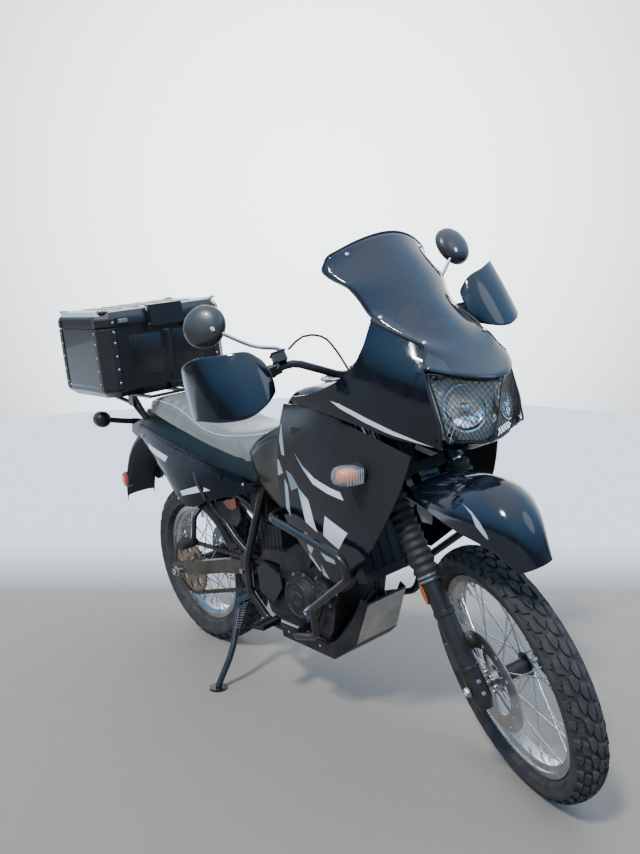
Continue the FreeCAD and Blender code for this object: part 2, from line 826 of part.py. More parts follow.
def build_front_caliper():
    """A two-piston caliper that straddles the front disc behind the near fork leg."""
    side = -size("front_disc_side")
    at = V(size("fork_offset") - 96, 0, FRONT_LEVEL + 78)
    inner = block(V(at.x - 34, side + 4, at.z - 34), V(at.x + 30, side + 18, at.z + 40))
    outer = block(V(at.x - 34, side - 34, at.z - 34), V(at.x + 30, side - 4, at.z + 40))
    bridge = block(V(at.x - 48, side - 34, at.z - 34), V(at.x - 34, side + 18, at.z + 40))
    arm = block(V(at.x + 20, -size("fork_spread") - 4, at.z + 6), V(size("fork_offset") - 24, side - 20, at.z + 24))
    piston = Part.makeCylinder(17, 8, V(at.x, side - 42, at.z + 2), V(0, 1, 0))
    shape = join([inner, outer, bridge, piston, arm])
    swept = Part.makeCylinder(
        size("front_disc_radius") + 5, size("disc_thickness") + 10.4,
        V(size("fork_offset"), side - size("disc_thickness") / 2 - 5.2, FRONT_LEVEL), V(0, 1, 0)
    )
    slider = Part.makeCylinder(size("fork_slider_radius"), 600, V(size("fork_offset"), -size("fork_spread"), 300))
    shape_node("front_caliper", shape.cut(swept).cut(slider), FORK)


def bar_points():
    """The right half of the handlebar's route, from the middle to its end."""
    forward = size("bar_forward")
    low = size("bar_level")
    rise = size("bar_rise")
    end = size("bar_half_width")
    return [
        V(forward, 0, low),
        V(forward, -90, low),
        V(forward + 14, -0.5 * end, low + rise),
        V(forward + 2, -0.62 * end, low + rise),
        V(forward - 50, -end, low + rise - 8),
    ]


def build_handlebar():
    right = bar_points()
    left = flip(right)[1:]
    route = right[:0:-1] + left
    bar = tube(route, size("bar_radius"), 70)
    shape_node("handlebar", bar, FORK)
    start = right[3]
    end = right[4]
    way = end.sub(start).normalize()
    inner = end.sub(V(way).multiply(size("grip_length")))
    hole = Part.makeCylinder(size("bar_radius") + 0.3, 500, start.sub(V(way).multiply(60)), way)
    grip = Part.makeCylinder(size("grip_radius"), size("grip_length") - 2, inner, way)
    flange = Part.makeCylinder(size("grip_radius") + 7, 5, inner, way)
    grip = join([grip, flange]).cut(hole)
    switch_end = inner.sub(V(way).multiply(3))
    switch = Part.makeCylinder(19, 34, switch_end.sub(V(way).multiply(34)), way)
    perch_at = switch_end.sub(V(way).multiply(42))
    perch = Part.makeCylinder(17, 22, perch_at.sub(V(way).multiply(14)), way)
    joint = perch_at.add(V(34, -4, 0))
    arm = rod(perch_at.add(V(4, 0, 0)), joint, 9)
    tip = end.add(V(46, 6, 2))
    lever = join([arm, rod(joint, tip, 5.5), Part.makeSphere(7, tip)])
    tank = block(perch_at.add(V(6, -2, 8)), perch_at.add(V(38, 34, 34)))
    control = join([switch, perch, lever, tank]).cut(bar)
    shape_node("grips", both_sides(grip), FORK)
    shape_node("hand_controls", both_sides(control), FORK)
    build_hand_guards(end, way)
    build_mirrors(perch_at, control)
    build_cables(perch_at)


def build_hand_guards(bar_end, way):
    """Wrap-round shells in front of the grips, each on a stay from the bar's end."""
    heights = (-84, -40, 10, 56, 84)
    bulge = (0.80, 0.95, 1.0, 0.96, 0.84)
    rows = []
    mid = size("bar_level") + size("bar_rise")
    for rise, share in zip(heights, bulge):
        rows.append([
            V(-34, -500 * (0.97 + 0.03 * share), mid + rise - 8),
            V(20, -492 * (0.97 + 0.03 * share), mid + rise - 4),
            V(80 * share, -462 * (0.98 + 0.02 * share), mid + rise),
            V(122 * share, -405, mid + rise + 3),
            V(136 * share, -345, mid + rise + 4),
            V(122 * share, -302 - 6 * (1 - share), mid + rise),
        ])
    skin = panel(rows, size("hand_guard_wall"))
    plug = rod(bar_end.add(V(way).multiply(0.5)), bar_end.add(V(way).multiply(22)), 10)
    tip = bar_end.add(V(way).multiply(12))
    stay = rod(tip, V(2, -497, mid - 6), 6)
    guard = join([skin, plug, stay])
    shape_node("hand_guards", both_sides(guard), FORK)


def build_mirrors(perch, control):
    """Oval mirrors on bent stems that screw into the lever perches."""
    at = V(42, -size("mirror_spread"), size("mirror_level"))
    foot = perch.add(V(-4, 4, 15))
    route = [foot, foot.add(V(2, 0, 30)), V(40, -330, at.z - 62), at.add(V(-2, 0, -size("mirror_half_height") + 6))]
    stem = tube(route, size("mirror_stem_radius"), 40)
    profile = []
    for k in range(16):
        angle = 2 * math.pi * k / 16
        profile.append(V(0, size("mirror_half_width") * math.cos(angle), size("mirror_half_height") * math.sin(angle)))
    depth = size("mirror_depth")
    rim_wire = Part.makePolygon(profile + profile[:1])
    back = [V(depth * 0.7, p.y * 0.86, p.z * 0.86) for p in profile]
    nose = [V(depth, p.y * 0.5, p.z * 0.5) for p in profile]
    shell = Part.makeLoft([rim_wire, Part.makePolygon(back + back[:1]), Part.makePolygon(nose + nose[:1])], True, True)
    shell.rotate(V(), V(1, 0, 0), 14)
    shell.rotate(V(), V(0, 0, 1), -8)
    shell.translate(at.add(V(-10, 0, 0)))
    mirror = join([shell, stem]).cut(control)
    shape_node("mirrors", both_sides(max(mirror.Solids, key=lambda s: s.Volume)), FORK)


def build_cables(perch):
    """Brake hose and clutch cable that loop from the perches in front of the bar to the upper clamp."""
    top = level(CLAMP_TOP)
    cables = []
    for side, radius, reach in ((-1, 3.2, 0), (1, 3.0, 8)):
        start = V(perch.x + 22 + reach, side * 214, perch.z + 36)
        route = [
            start,
            V(start.x + 26, side * 168, start.z + 20),
            V(start.x + 30, side * 110, start.z - 4),
            V(start.x + 12, side * 88, start.z - 62),
            V(72, side * 77, start.z - 122),
            V(66, side * 74, top + 0.3),
        ]
        cables.append(tube(route, radius, 60))
    shape_node("control_cables", Part.makeCompound(cables), FORK)


# Frame
def axis_point(level_up, out=0.0, y=0.0):
    """A point of the straight-ahead machine given along and out from the steering axis."""
    return FORK_STRAIGHT.multVec(V(out, y, level_up))


def head_level(share):
    """A level on the head tube, from 0 at its bottom to 1 at its top."""
    low = size("lower_clamp_level") + size("lower_clamp_height") + size("head_gap")
    return low + share * size("head_tube_length")


def cradle_points():
    """The right-hand cradle tube: seat junction, pivot, floor and down tube."""
    side = size("cradle_side")
    low = size("cradle_low_side")
    return [
        V(648, -30, 848),
        V(596, -side + 14, 790),
        V(556, -side, 700),
        V(432, -side, 453),
        V(424, -side, 330),
        V(500, -low, size("cradle_low")),
        V(845, -low, size("cradle_low")),
        V(938, -34, 398),
        V(956, -8, 436),
    ]


def rail_points():
    """The right-hand seat rail."""
    side = size("rail_side")
    return [V(590, -size("cradle_side") + 12, 756), V(500, -side, 742), V(300, -side, 790), V(60, -side, 846), V(-190, -102, 872)]


def brace_points():
    """The right-hand brace from above the pivot up to the seat rail."""
    side = size("rail_side")
    return [V(440, -size("cradle_side"), 480), V(380, -side, 520), V(60, -side, 800), V(20, -side, 846)]


def backbone_points():
    low = axis_point(head_level(0.72))
    return [low, V(980, 0, 938), V(640, 0, 864)]


# Cross tubes that the shock stands between: on the swingarm and between the seat rails
SHOCK_LOW = V(340, 0, 398)
SHOCK_HIGH = V(443, 0, 766)
SHOCK_TUBE_LOW = 18
SHOCK_TUBE_HIGH = 10


def stand_axis():
    """The direction of the side stand's pin, square to the leg both down and folded back."""
    down = stand_foot().sub(stand_pivot()).normalize()
    folded = V(-0.98, -0.17, 0.1).normalize()
    return down.cross(folded).normalize()


def stand_pivot():
    return V(size("stand_pivot_forward"), -size("stand_pivot_side"), size("stand_pivot_up"))


def stand_foot():
    """The middle of the foot's sole, on the floor under the leaning machine."""
    at = V(size("stand_foot_forward"), -size("stand_foot_side"), 0)
    up = CHASSIS.Rotation.inverted().multVec(V(0, 0, 1))
    height = CHASSIS.multVec(at).z
    return at.sub(V(0, 0, height / up.z))


def stand_lugs():
    """Two ears on the cradle that hold the side stand's pin."""
    pivot = stand_pivot()
    axis = stand_axis()
    gap = size("stand_eye_wall") / 2 + size("stand_gap")
    wall = size("stand_lug_wall")
    shapes = []
    tube_at = V(430, -size("cradle_side") - 2, 318)
    for sign in (1, -1):
        start = pivot.add(V(axis).multiply(gap if sign > 0 else -gap - wall))
        ear = Part.makeCylinder(size("stand_eye_radius") - 3, wall, start, axis)
        shapes.append(ear)
        shift = V(axis).multiply(sign * (gap + wall / 2))
        away = tube_at.sub(pivot)
        away = away.sub(V(axis).multiply(away.dot(axis)))
        arm_end = pivot.add(shift).add(away)
        shapes.append(flat_bar(pivot.add(shift), arm_end, axis, wall, 20))
    pin_length = 2 * (gap + wall)
    pin = Part.makeCylinder(size("stand_pin_radius"), pin_length, pivot.sub(V(axis).multiply(pin_length / 2)), axis)
    away = tube_at.sub(pivot)
    away = away.sub(V(axis).multiply(away.dot(axis)))
    middle = pivot.add(away)
    root = flat_bar(middle, tube_at, V(0, 0, 1), 30, 26)
    bridge_end = V(axis).multiply(gap + wall)
    bridge = rod(middle.sub(bridge_end), middle.add(bridge_end), 9)
    return shapes + [pin, root, bridge]


def flat_bar(start, end, normal, wall, width):
    """A flat strap between two points, with its thickness along one direction."""
    way = end.sub(start)
    thick = V(normal).normalize()
    across = way.cross(thick).normalize().multiply(width / 2)
    half = V(thick).multiply(wall / 2)
    corners = [
        start.add(across).sub(half),
        start.sub(across).sub(half),
        end.sub(across).sub(half),
        end.add(across).sub(half),
    ]
    return prism(corners, V(thick).multiply(wall))


def build_frame():
    axis = FORK_TURN.multVec(V(0, 0, 1))
    base = axis_point(head_level(0))
    head = Part.makeCylinder(size("head_tube_radius"), size("head_tube_length"), base, axis)
    bore = Part.makeCylinder(size("stem_radius"), size("head_tube_length") + 4, base.sub(V(axis).multiply(2)), axis)
    backbone = tube(backbone_points(), size("backbone_radius"), 200)
    down = rod(axis_point(head_level(0.45)), V(960, 0, 430), size("down_tube_radius"))
    cradle = tube(cradle_points(), size("cradle_radius"), 55)
    other = tube(flip(cradle_points()), size("cradle_radius"), 55)
    crosses = [
        rod(V(500, -size("cradle_low_side"), size("cradle_low")), V(500, size("cradle_low_side"), size("cradle_low")), 11),
        rod(V(600, -size("cradle_side") + 14, 790), V(600, size("cradle_side") - 14, 790), 11),
    ]
    plates = []
    for side in (1, -1):
        y = side * size("cradle_side")
        outline = [V(450, y - 5, 505), V(392, y - 5, 450), V(386, y - 5, 372), V(432, y - 5, 330)]
        plates.append(prism(outline, V(0, 10, 0)))
    frame = join([head, backbone, down, cradle, other] + crosses + plates + stand_lugs())
    pivot = V(size("pivot_forward"), -200, size("pivot_up"))
    pivot_hole = Part.makeCylinder(9 + size("running_fit"), 400, pivot, V(0, 1, 0))
    shape_node("main_frame", frame.cut(bore).cut(pivot_hole))
    return frame


def build_subframe(frame):
    rails = [tube(p, size("rail_radius"), 80) for p in (rail_points(), flip(rail_points()))]
    braces = [tube(p, size("rail_radius") - 1, 60) for p in (brace_points(), flip(brace_points()))]
    crosses = [
        rod(V(60, -size("rail_side"), 846), V(60, size("rail_side"), 846), 10),
        rod(V(-190, -102, 872), V(-190, 102, 872), 10),
        rod(V(300, -size("rail_side"), 790), V(300, size("rail_side"), 790), 9),
        Part.makeCylinder(SHOCK_TUBE_HIGH, 2 * size("rail_side"), SHOCK_HIGH.sub(V(0, size("rail_side"), 0)), V(0, 1, 0)),
    ]
    whole = join(rails + braces + crosses).cut(frame)
    whole = max(whole.Solids, key=lambda s: s.Volume)
    shape_node("subframe", whole)
    return whole


def build_swingarm():
    side = size("arm_side")
    near = size("arm_pivot_side")
    height = size("arm_height")
    wall = size("arm_wall")
    pivot = V(size("pivot_forward"), 0, size("pivot_up"))
    axle = V(0, 0, size("rear_tyre_radius"))
    shapes = [Part.makeCylinder(size("pivot_tube_radius"), 2 * near + wall, pivot.sub(V(0, near + wall / 2, 0)), V(0, 1, 0))]
    stations = ((pivot.x, near, pivot.z), (270, near + 16, 388), (150, side - 6, 362), (-30, side, 322))
    for sign in (1, -1):
        wires = []
        for x, y, z in stations:
            tall = height if x > 0 else height * 0.8
            corners = [
                V(x, sign * y - wall / 2, z - tall / 2),
                V(x, sign * y + wall / 2, z - tall / 2),
                V(x, sign * y + wall / 2, z + tall / 2),
                V(x, sign * y - wall / 2, z + tall / 2),
            ]
            wires.append(Part.makePolygon(corners + corners[:1]))
        shapes.append(Part.makeLoft(wires, True, True))
        shapes.append(Part.makeCylinder(height * 0.43, wall, V(-30, sign * side - wall / 2, 322), V(0, 1, 0)))
    shapes.append(Part.makeCylinder(SHOCK_TUBE_LOW, 2 * near + 20, SHOCK_LOW.sub(V(0, near + 10, 0)), V(0, 1, 0)))
    arm = join(shapes)
    pin = Part.makeCylinder(9 + size("running_fit"), 400, pivot.sub(V(0, 200, 0)), V(0, 1, 0))
    hole = Part.makeCylinder(size("axle_radius") + size("running_fit"), 400, axle.sub(V(0, 200, 0)), V(0, 1, 0))
    arm = arm.cut(pin).cut(hole)
    shape_node("swingarm", arm)
    bolt = cylinder("pivot_bolt", "9", "2 * cradle_side + 40", ("pivot_forward", "0", "pivot_up"), "y")
    set_node(compound("swingarm_bolt", [bolt]), "swingarm_bolt", CHASSIS)
    bar = cylinder("rear_axle_bar", "axle_radius", "2 * arm_side + 54", ("0", "0", "rear_tyre_radius"), "y")
    bore = cylinder("rear_axle_hole", "axle_bore_radius", "2 * arm_side + 56", ("0", "0", "rear_tyre_radius"), "y")
    set_node(cut("rear_axle", bar, bore), "rear_axle", CHASSIS)
    return arm


def build_shock():
    """Damper with its coil spring, leaning in front of the rear wheel."""
    way = SHOCK_HIGH.sub(SHOCK_LOW).normalize()
    low = SHOCK_LOW.add(V(way).multiply(SHOCK_TUBE_LOW + 0.3))
    high = SHOCK_HIGH.sub(V(way).multiply(SHOCK_TUBE_HIGH + 0.3))
    way = high.sub(low)
    profile = [(0, 0), (11, 0), (11, 30), (30, 34), (30, 40)]
    turns = 7
    step = (way.Length - 110) / turns
    for k in range(turns):
        start = 44 + k * step
        profile += [(27, start), (33, start + 0.3 * step), (33, start + 0.6 * step), (27, start + 0.9 * step)]
    end = 44 + turns * step
    profile += [(30, end + 2), (30, end + 10), (24, end + 12), (24, way.Length - 12), (12, way.Length - 10), (12, way.Length), (0, way.Length)]
    points = [V(r, 0, z) for r, z in profile]
    body = Part.Face(Part.makePolygon(points + points[:1])).revolve(V(), V(0, 0, 1), 360)
    shape_node("rear_shock", placed(body, low, FreeCAD.Rotation(V(0, 0, 1), way)))


# Engine
def build_engine():
    half = size("engine_half_width")
    low = size("engine_bottom")
    outline = [
        (492, 360), (520, low + 16), (560, low), (820, low), (846, low + 36), (872, 400), (885, 470), (876, 560), (700, 560),
        (640, 520), (520, 505), (492, 470),
    ]
    case = prism([V(x, -half, z) for x, z in outline], V(0, 2 * half, 0))
    round_cover = Part.makeCone(size("cover_radius"), size("cover_radius") - 12, size("cover_depth"), V(720, -half, 385), RIGHT)
    small_cover = Part.makeCone(46, 40, size("cover_depth") - 8, V(838, -half, 440), RIGHT)
    left_cover = Part.makeCone(92, 84, size("cover_depth"), V(650, half, 400), V(0, 1, 0))
    left_small = Part.makeCone(52, 44, size("cover_depth"), V(800, half, 400), V(0, 1, 0))
    corners = [V(470, -half - 1, 310), V(540, -half - 1, 350), V(598, -half - 1, 360), V(598, -half - 1, 468)]
    pocket = prism(corners + [V(470, -half - 1, 468)], V(0, half + 1 - 84, 0))
    shape_node("engine", join([case, round_cover, small_cover, left_cover, left_small]).cut(pocket))
    outline = [
        V(498, -half - 20, 350), V(570, -half - 20, 330), V(624, -half - 20, 396), V(620, -half - 20, 440),
        V(540, -half - 20, 468), V(492, -half - 20, 440),
    ]
    cover = prism(outline, V(0, 6, 0))
    legs = [Part.makeCylinder(7, 20, V(612, -half, 425), RIGHT), Part.makeCylinder(7, 20, V(566, -half, 342), RIGHT)]
    shape_node("sprocket_cover", join([cover] + legs))
    build_cylinder()


def build_cylinder():
    """The finned cylinder, head and cam cover, leaning forward out of the crankcase."""
    foot = V(800, 0, 551)
    half = size("cylinder_half")
    fin = size("fin_half")
    shapes = [block(V(-half, -half, 0), V(half, half, 150))]
    pitch = 150 / size("fin_count")
    for k in range(int(size("fin_count"))):
        z = (k + 0.5) * pitch
        shapes.append(block(V(-fin, -fin, z), V(fin, fin, z + size("fin_wall"))))
    head = [V(-78, -70, 146), V(84, -70, 146), V(84, -70, 196), V(60, -70, 232), V(-56, -70, 232), V(-78, -70, 200)]
    shapes.append(prism(head, V(0, 140, 0)))
    port = Part.makeCylinder(27, 26, V(80, 0, 168), V(1, 0, 0))
    shapes.append(port)
    whole = join(shapes)
    turn = FreeCAD.Rotation(V(0, 1, 0), size("cylinder_tilt"))
    case_top = block(V(600, -200, 400), V(1000, 200, 560.2))
    shape_node("cylinder_head", placed(whole, foot, turn).cut(case_top))


def build_exhaust():
    """Header from the head round the left of the engine to a silencer under the side cover."""
    turn = FreeCAD.Rotation(V(0, 1, 0), size("cylinder_tilt"))
    port = V(800, 0, 551).add(turn.multVec(V(106.5, 0, 168)))
    out = turn.multVec(V(1, 0, 0))
    route = [
        port,
        port.add(V(out).multiply(36)),
        V(980, 92, 600),
        V(950, 158, 480),
        V(820, 176, 420),
        V(560, 180, 440),
        V(200, 154, 508),
    ]
    header = tube(route, 19, 48)
    end = V(-336, 206, 668)
    way = end.sub(route[-1])
    silencer = Part.makeCylinder(50, way.Length - 60, route[-1].add(V(way).normalize().multiply(30)), way)
    cone = Part.makeCone(21, 50, 32, route[-1].sub(V(way).normalize().multiply(1)), way)
    tail = Part.makeCylinder(18, 70, end.sub(V(way).normalize().multiply(40)), way)
    shape_node("exhaust", join([header, silencer, cone, tail]))


def build_radiator(frame):
    """A narrow radiator on the near side, held by a stay from the down tube."""
    core = block(V(-16, -90, -120), V(16, 66, 120))
    tanks = [block(V(-20, -90, 114), V(20, 66, 140)), block(V(-20, -90, -140), V(20, 66, -114))]
    stay = block(V(-66, 60, -10), V(0, 108, 10))
    whole = placed(join([core, stay] + tanks), V(1078, -106, 694), FreeCAD.Rotation(V(0, 1, 0), -14)).cut(frame)
    shape_node("radiator", max(whole.Solids, key=lambda s: s.Volume))


def build_chain():
    """Two rows of side plates that straddle the sprockets, joined by pins on the straight runs."""
    back = V(0, 0, size("rear_tyre_radius"))
    front = V(545, 0, 410)
    big = tooth_radius(int(size("sprocket_teeth")))
    small = tooth_radius(int(size("engine_sprocket_teeth")))
    way = front.sub(back)
    base = math.atan2(way.z, way.x)
    spread = math.acos((big - small) / way.Length)
    half = size("chain_plate_height") / 2
    side = -size("sprocket_side")
    gap = size("chain_gap") / 2
    wall = size("chain_plate")

    def outline(extra):
        edges = []
        pts = []
        for centre, radius in ((back, big + extra), (front, small + extra)):
            for sign in (1, -1):
                angle = base + sign * spread
                pts.append(V(centre.x + radius * math.cos(angle), 0, centre.z + radius * math.sin(angle)))
        top_back, low_back, top_front, low_front = pts
        far_back = V(back.x - (big + extra) * math.cos(base), 0, back.z - (big + extra) * math.sin(base))
        far_front = V(front.x + (small + extra) * math.cos(base), 0, front.z + (small + extra) * math.sin(base))
        edges.append(Part.LineSegment(top_back, top_front).toShape())
        edges.append(Part.Arc(top_front, far_front, low_front).toShape())
        edges.append(Part.LineSegment(low_front, low_back).toShape())
        edges.append(Part.Arc(low_back, far_back, top_back).toShape())
        return Part.Wire(edges)

    ring = Part.Face(outline(half)).cut(Part.Face(outline(-half)))
    shapes = []
    for y in (side - gap - wall, side + gap):
        plate = ring.extrude(V(0, wall, 0))
        plate.translate(V(0, y, 0))
        shapes.append(plate)
    pitch = size("chain_pitch")
    for sign in (1, -1):
        angle = base + sign * spread
        start = V(back.x + big * math.cos(angle), 0, back.z + big * math.sin(angle))
        end = V(front.x + small * math.cos(angle), 0, front.z + small * math.sin(angle))
        run = end.sub(start)
        count = int((run.Length - 84) / pitch)
        for k in range(count):
            at = start.add(V(run).normalize().multiply(42 + (k + 0.5) * pitch))
            corners = []
            for turn in range(6):
                angle = math.pi * turn / 3
                corners.append(V(at.x + 4 * math.cos(angle), side - gap, at.z + 4 * math.sin(angle)))
            shapes.append(prism(corners, V(0, 2 * gap, 0)))
    shape_node("drive_chain", join(shapes))
    gear = sprocket_shape(int(size("engine_sprocket_teeth")), side, 10, 0)
    gear.translate(front)
    boss = Part.makeCylinder(12, -84 - side + 8, V(front.x, side - 8, front.z), V(0, 1, 0))
    gear = join([gear, boss])
    return gear


# Body
def tank_sections():
    return [
        rounded_section(668, 862, 950, 92, 78, 18),
        rounded_section(730, 850, 1026, 136, 108, 28),
        rounded_section(800, 842, 1072, 166, 132, 34),
        rounded_section(900, 838, 1092, 182, 146, 36),
        rounded_section(1000, 844, 1084, 170, 138, 36),
        rounded_section(1066, 880, 1050, 120, 96, 28),
    ]


def build_tank(frame):
    body = body_of(tank_sections())
    gap = size("backbone_radius") + size("tank_tunnel_gap")
    rise = prism(
        [V(600, -gap, 700), V(600, -gap, 886), V(980, -gap, 966), V(1160, -gap, 1050), V(1160, -gap, 700)],
        V(0, 2 * gap, 0)
    )
    axis = FORK_TURN.multVec(V(0, 0, 1))
    head = Part.makeCylinder(size("head_tube_radius") + 12, 600, axis_point(800), axis)
    sweep = placed(block(V(-58, -300, 900), V(400, 300, 1300)), FORK_FOOT, FORK_TURN)
    body = body.cut(rise).cut(head).cut(sweep)
    body = max(body.Solids, key=lambda s: s.Volume)
    saddle = block(V(780, -16, 900), V(830, 16, 934))
    body = join([body, saddle]).cut(frame)
    body = max(body.Solids, key=lambda s: s.Volume)
    cap_at = V(850, 0, 1060)
    neck = Part.makeCylinder(34, 60, cap_at)
    shape_node("fuel_tank", body.cut(neck))
    cap = Part.makeCylinder(33.6, 34, cap_at.add(V(0, 0, 0.3)))
    lever = block(cap_at.add(V(-24, -9, 34)), cap_at.add(V(24, 9, 40)))
    shape_node("fuel_cap", join([cap, lever]))


def shroud_rows():
    return [
        [V(828, -190, 1048), V(960, -196, 1044), V(1110, -196, 1010), V(1250, -186, 968), V(1316, -176, 944)],
        [V(800, -200, 960), V(940, -208, 950), V(1090, -212, 915), V(1220, -206, 880), V(1288, -196, 856)],
        [V(784, -204, 850), V(920, -214, 835), V(1060, -224, 806), V(1180, -224, 780), V(1244, -218, 764)],
        [V(780, -202, 740), V(890, -214, 722), V(1010, -226, 708), V(1120, -230, 698), V(1196, -228, 690)],
        [V(806, -198, 660), V(880, -206, 640), V(970, -212, 630), V(1060, -212, 622), V(1120, -208, 616)],
        [V(930, -190, 540), V(952, -192, 536), V(974, -192, 532), V(996, -190, 530), V(1016, -188, 530)],
    ]


def build_shrouds():
    right = panel([row[::-1] for row in shroud_rows()], size("panel_wall"))
    right = join([right, block(V(868, -203, 960), V(900, -140, 984))])
    pair = both_sides(right).cut(body_of(tank_sections()))
    pair = Part.makeCompound(sorted(pair.Solids, key=lambda s: -s.Volume)[:2])
    shape_node("shrouds", pair)
    return pair


def cowl_rows():
    return [
        [V(1334, -122, 1212), V(1290, -140, 1242), V(1240, -154, 1266), V(1197, -163, 1286)],
        [V(1361, -152, 1156), V(1300, -176, 1168), V(1225, -194, 1172), V(1160, -203, 1172)],
        [V(1385, -160, 1090), V(1290, -190, 1092), V(1150, -210, 1096), V(1020, -214, 1100)],
        [V(1404, -158, 1022), V(1280, -194, 1034), V(1100, -212, 1056), V(900, -208, 1076)],
        [V(1392, -150, 968), V(1270, -190, 990), V(1090, -208, 1030), V(876, -203, 1062)],
    ]


def build_cowl():
    side = panel(cowl_rows(), size("panel_wall"))
    brow_rows = [
        [V(1326, -127, 1217), V(1358, -66, 1196), V(1366, 0, 1190), V(1358, 66, 1196), V(1326, 127, 1217)],
        [V(1352, -157, 1158), V(1430, -80, 1132), V(1462, 0, 1120), V(1430, 80, 1132), V(1352, 157, 1158)],
    ]
    chin_rows = [
        [V(1392, -160, 994), V(1428, -80, 966), V(1436, 0, 958), V(1428, 80, 966), V(1392, 160, 994)],
        [V(1380, -154, 972), V(1404, -76, 950), V(1408, 0, 944), V(1404, 76, 950), V(1380, 154, 972)],
    ]
    brow = panel(brow_rows[::-1], size("panel_wall"))
    chin = panel(chin_rows[::-1], size("panel_wall"))
    mirrored = side.mirror(V(), V(0, 1, 0))
    cowl = join([side, mirrored, brow, chin])
    shape_node("cowl", cowl)
    return cowl


def build_screen(cowl):
    rows = []
    for x, z, back, rise, half in (
        (1372, 1192, 30, 22, 118),
        (1306, 1268, 76, 10, 148),
        (1240, 1345, 82, -8, 160),
        (1180, 1428, 84, -22, 186),
        (1122, 1506, 66, -60, 200),
    ):
        rows.append([
            V(x - back, -half, z + rise),
            V(x - 0.42 * back, -0.66 * half, z + 0.42 * rise),
            V(x, 0, z),
            V(x - 0.42 * back, 0.66 * half, z + 0.42 * rise),
            V(x - back, half, z + rise),
        ])
    lugs = []
    for side in (1, -1):
        lugs.append(rod(V(1330, side * 126, 1207), V(1340, side * 108, 1222), 5))
        lugs.append(rod(V(1238, side * 158, 1262), V(1236, side * 140, 1290), 5))
    screen = join([panel(rows, size("screen_wall"))] + lugs).cut(cowl)
    shape_node("windscreen", max(screen.Solids, key=lambda s: s.Volume))


def lamp_rows(shift, share):
    """Three rows down the front of the twin lamp, swept back from a keel, moved back by a shift."""
    rows = []
    for keel_x, edge_x, keel_z, edge_z, half in ((1476, 1374, 1118, 1156, 157), (1460, 1400, 1040, 1072, 154), (1438, 1420, 962, 988, 150)):
        rows.append([
            V(edge_x - shift, -half * share, edge_z),
            V(0.5 * (edge_x + keel_x) - shift, -half * share / 2, 0.5 * (edge_z + keel_z)),
            V(keel_x - shift, 0, keel_z),
            V(0.5 * (edge_x + keel_x) - shift, half * share / 2, 0.5 * (edge_z + keel_z)),
            V(edge_x - shift, half * share, edge_z),
        ])
    return rows


def build_headlight(cowl):
    lamp = panel(lamp_rows(26, 0.9)[::-1], 60)
    stay_start = axis_point(head_level(0.5), size("head_tube_radius") - 6)
    stay = flat_bar(stay_start, V(1404, 0, 1052), V(0, 1, 0), 20, 24)
    axis = FORK_TURN.multVec(V(0, 0, 1))
    head_room = Part.makeCylinder(size("head_tube_radius") + 0.3, 400, axis_point(900), axis)
    headlight = join([lamp, stay]).cut(head_room)
    headlight = max(headlight.Solids, key=lambda s: s.Volume)
    shape_node("headlight", headlight)
    build_lamp_guard(headlight, cowl)
    build_instruments(headlight)


def build_lamp_guard(headlight, cowl):
    """A folded steel guard with diamond openings, on four stand-offs from the lamp."""
    rows = lamp_rows(0, 1)
    guard = sheet_of(rows[::-1], size("guard_wall"))
    wide = size("guard_diamond_width")
    tall = size("guard_diamond_height")
    bar = size("guard_bar")
    holes = []
    for i in range(-8, 9):
        for j in range(-5, 6):
            for half_step in (0, 0.5):
                y = (i + half_step) * wide
                z = 1066 + (j + half_step) * tall
                share = abs(y) / 150
                top = 1112 + 36 * share - tall * 0.62
                low = 966 + 26 * share + tall * 0.62
                if share < 0.92 - wide / 300 and low < z < top:
                    points = [
                        V(1340, y - wide / 2 + bar, z),
                        V(1340, y, z - tall / 2 + bar),
                        V(1340, y + wide / 2 - bar, z),
                        V(1340, y, z + tall / 2 - bar),
                    ]
                    holes.append(prism(points, V(160, 0, 0)))
    feet = []
    for side in (1, -1):
        feet.append(rod(V(1340, side * 132, 1138), V(1390, side * 132, 1138), 5))
        feet.append(rod(V(1370, side * 128, 1000), V(1424, side * 128, 1000), 5))
    body = join([guard.cut(Part.makeCompound(holes))] + feet).cut(headlight)
    body = max(body.cut(cowl).Solids, key=lambda s: s.Volume)
    shape_node("headlight_guard", body)


def build_instruments(headlight):
    """The instrument pod on a strap that stands on the lamp's stay."""
    pod = [V(1150, -92, 1150), V(1196, -92, 1150), V(1240, -92, 1196), V(1216, -92, 1236), V(1150, -92, 1190)]
    strap = flat_bar(V(1196, 0, 990), V(1196, 0, 1160), V(0, 1, 0), 16, 24)
    shape_node("instruments", join([prism(pod, V(0, 184, 0)), strap]).cut(headlight))


def build_seat():
    sections = [
        rounded_section(690, 898, 948, 66, 62, 12),
        rounded_section(620, 846, 930, 96, 84, 16),
        rounded_section(520, 786, 906, 146, 112, 20),
        rounded_section(400, 806, 892, 158, 136, 24),
        rounded_section(280, 826, 904, 160, 142, 26),
        rounded_section(160, 852, 950, 156, 138, 28),
        rounded_section(50, 872, 978, 150, 132, 28),
        rounded_section(-70, 890, 980, 132, 116, 26),
        rounded_section(-150, 896, 966, 112, 98, 22),
    ]
    body = body_of(sections)
    body = body.cut(block(V(662, -200, 700), V(900, 200, 1100)))
    frame_room = []
    for points in (cradle_points(), flip(cradle_points())):
        frame_room.append(tube(points[:4], size("cradle_radius") + 2, 55))
    for points in (rail_points(), flip(rail_points())):
        frame_room.append(tube(points, size("rail_radius") + 2, 80))
    frame_room.append(rod(V(600, -130, 790), V(600, 130, 790), 13))
    frame_room.append(tube([V(800, 0, 900), V(700, 0, 879), V(630, 0, 864)], size("backbone_radius") + 2, 200))
    body = body.cut(Part.makeCompound(frame_room))
    body = max(body.Solids, key=lambda s: s.Volume)
    shape_node("seat", body)


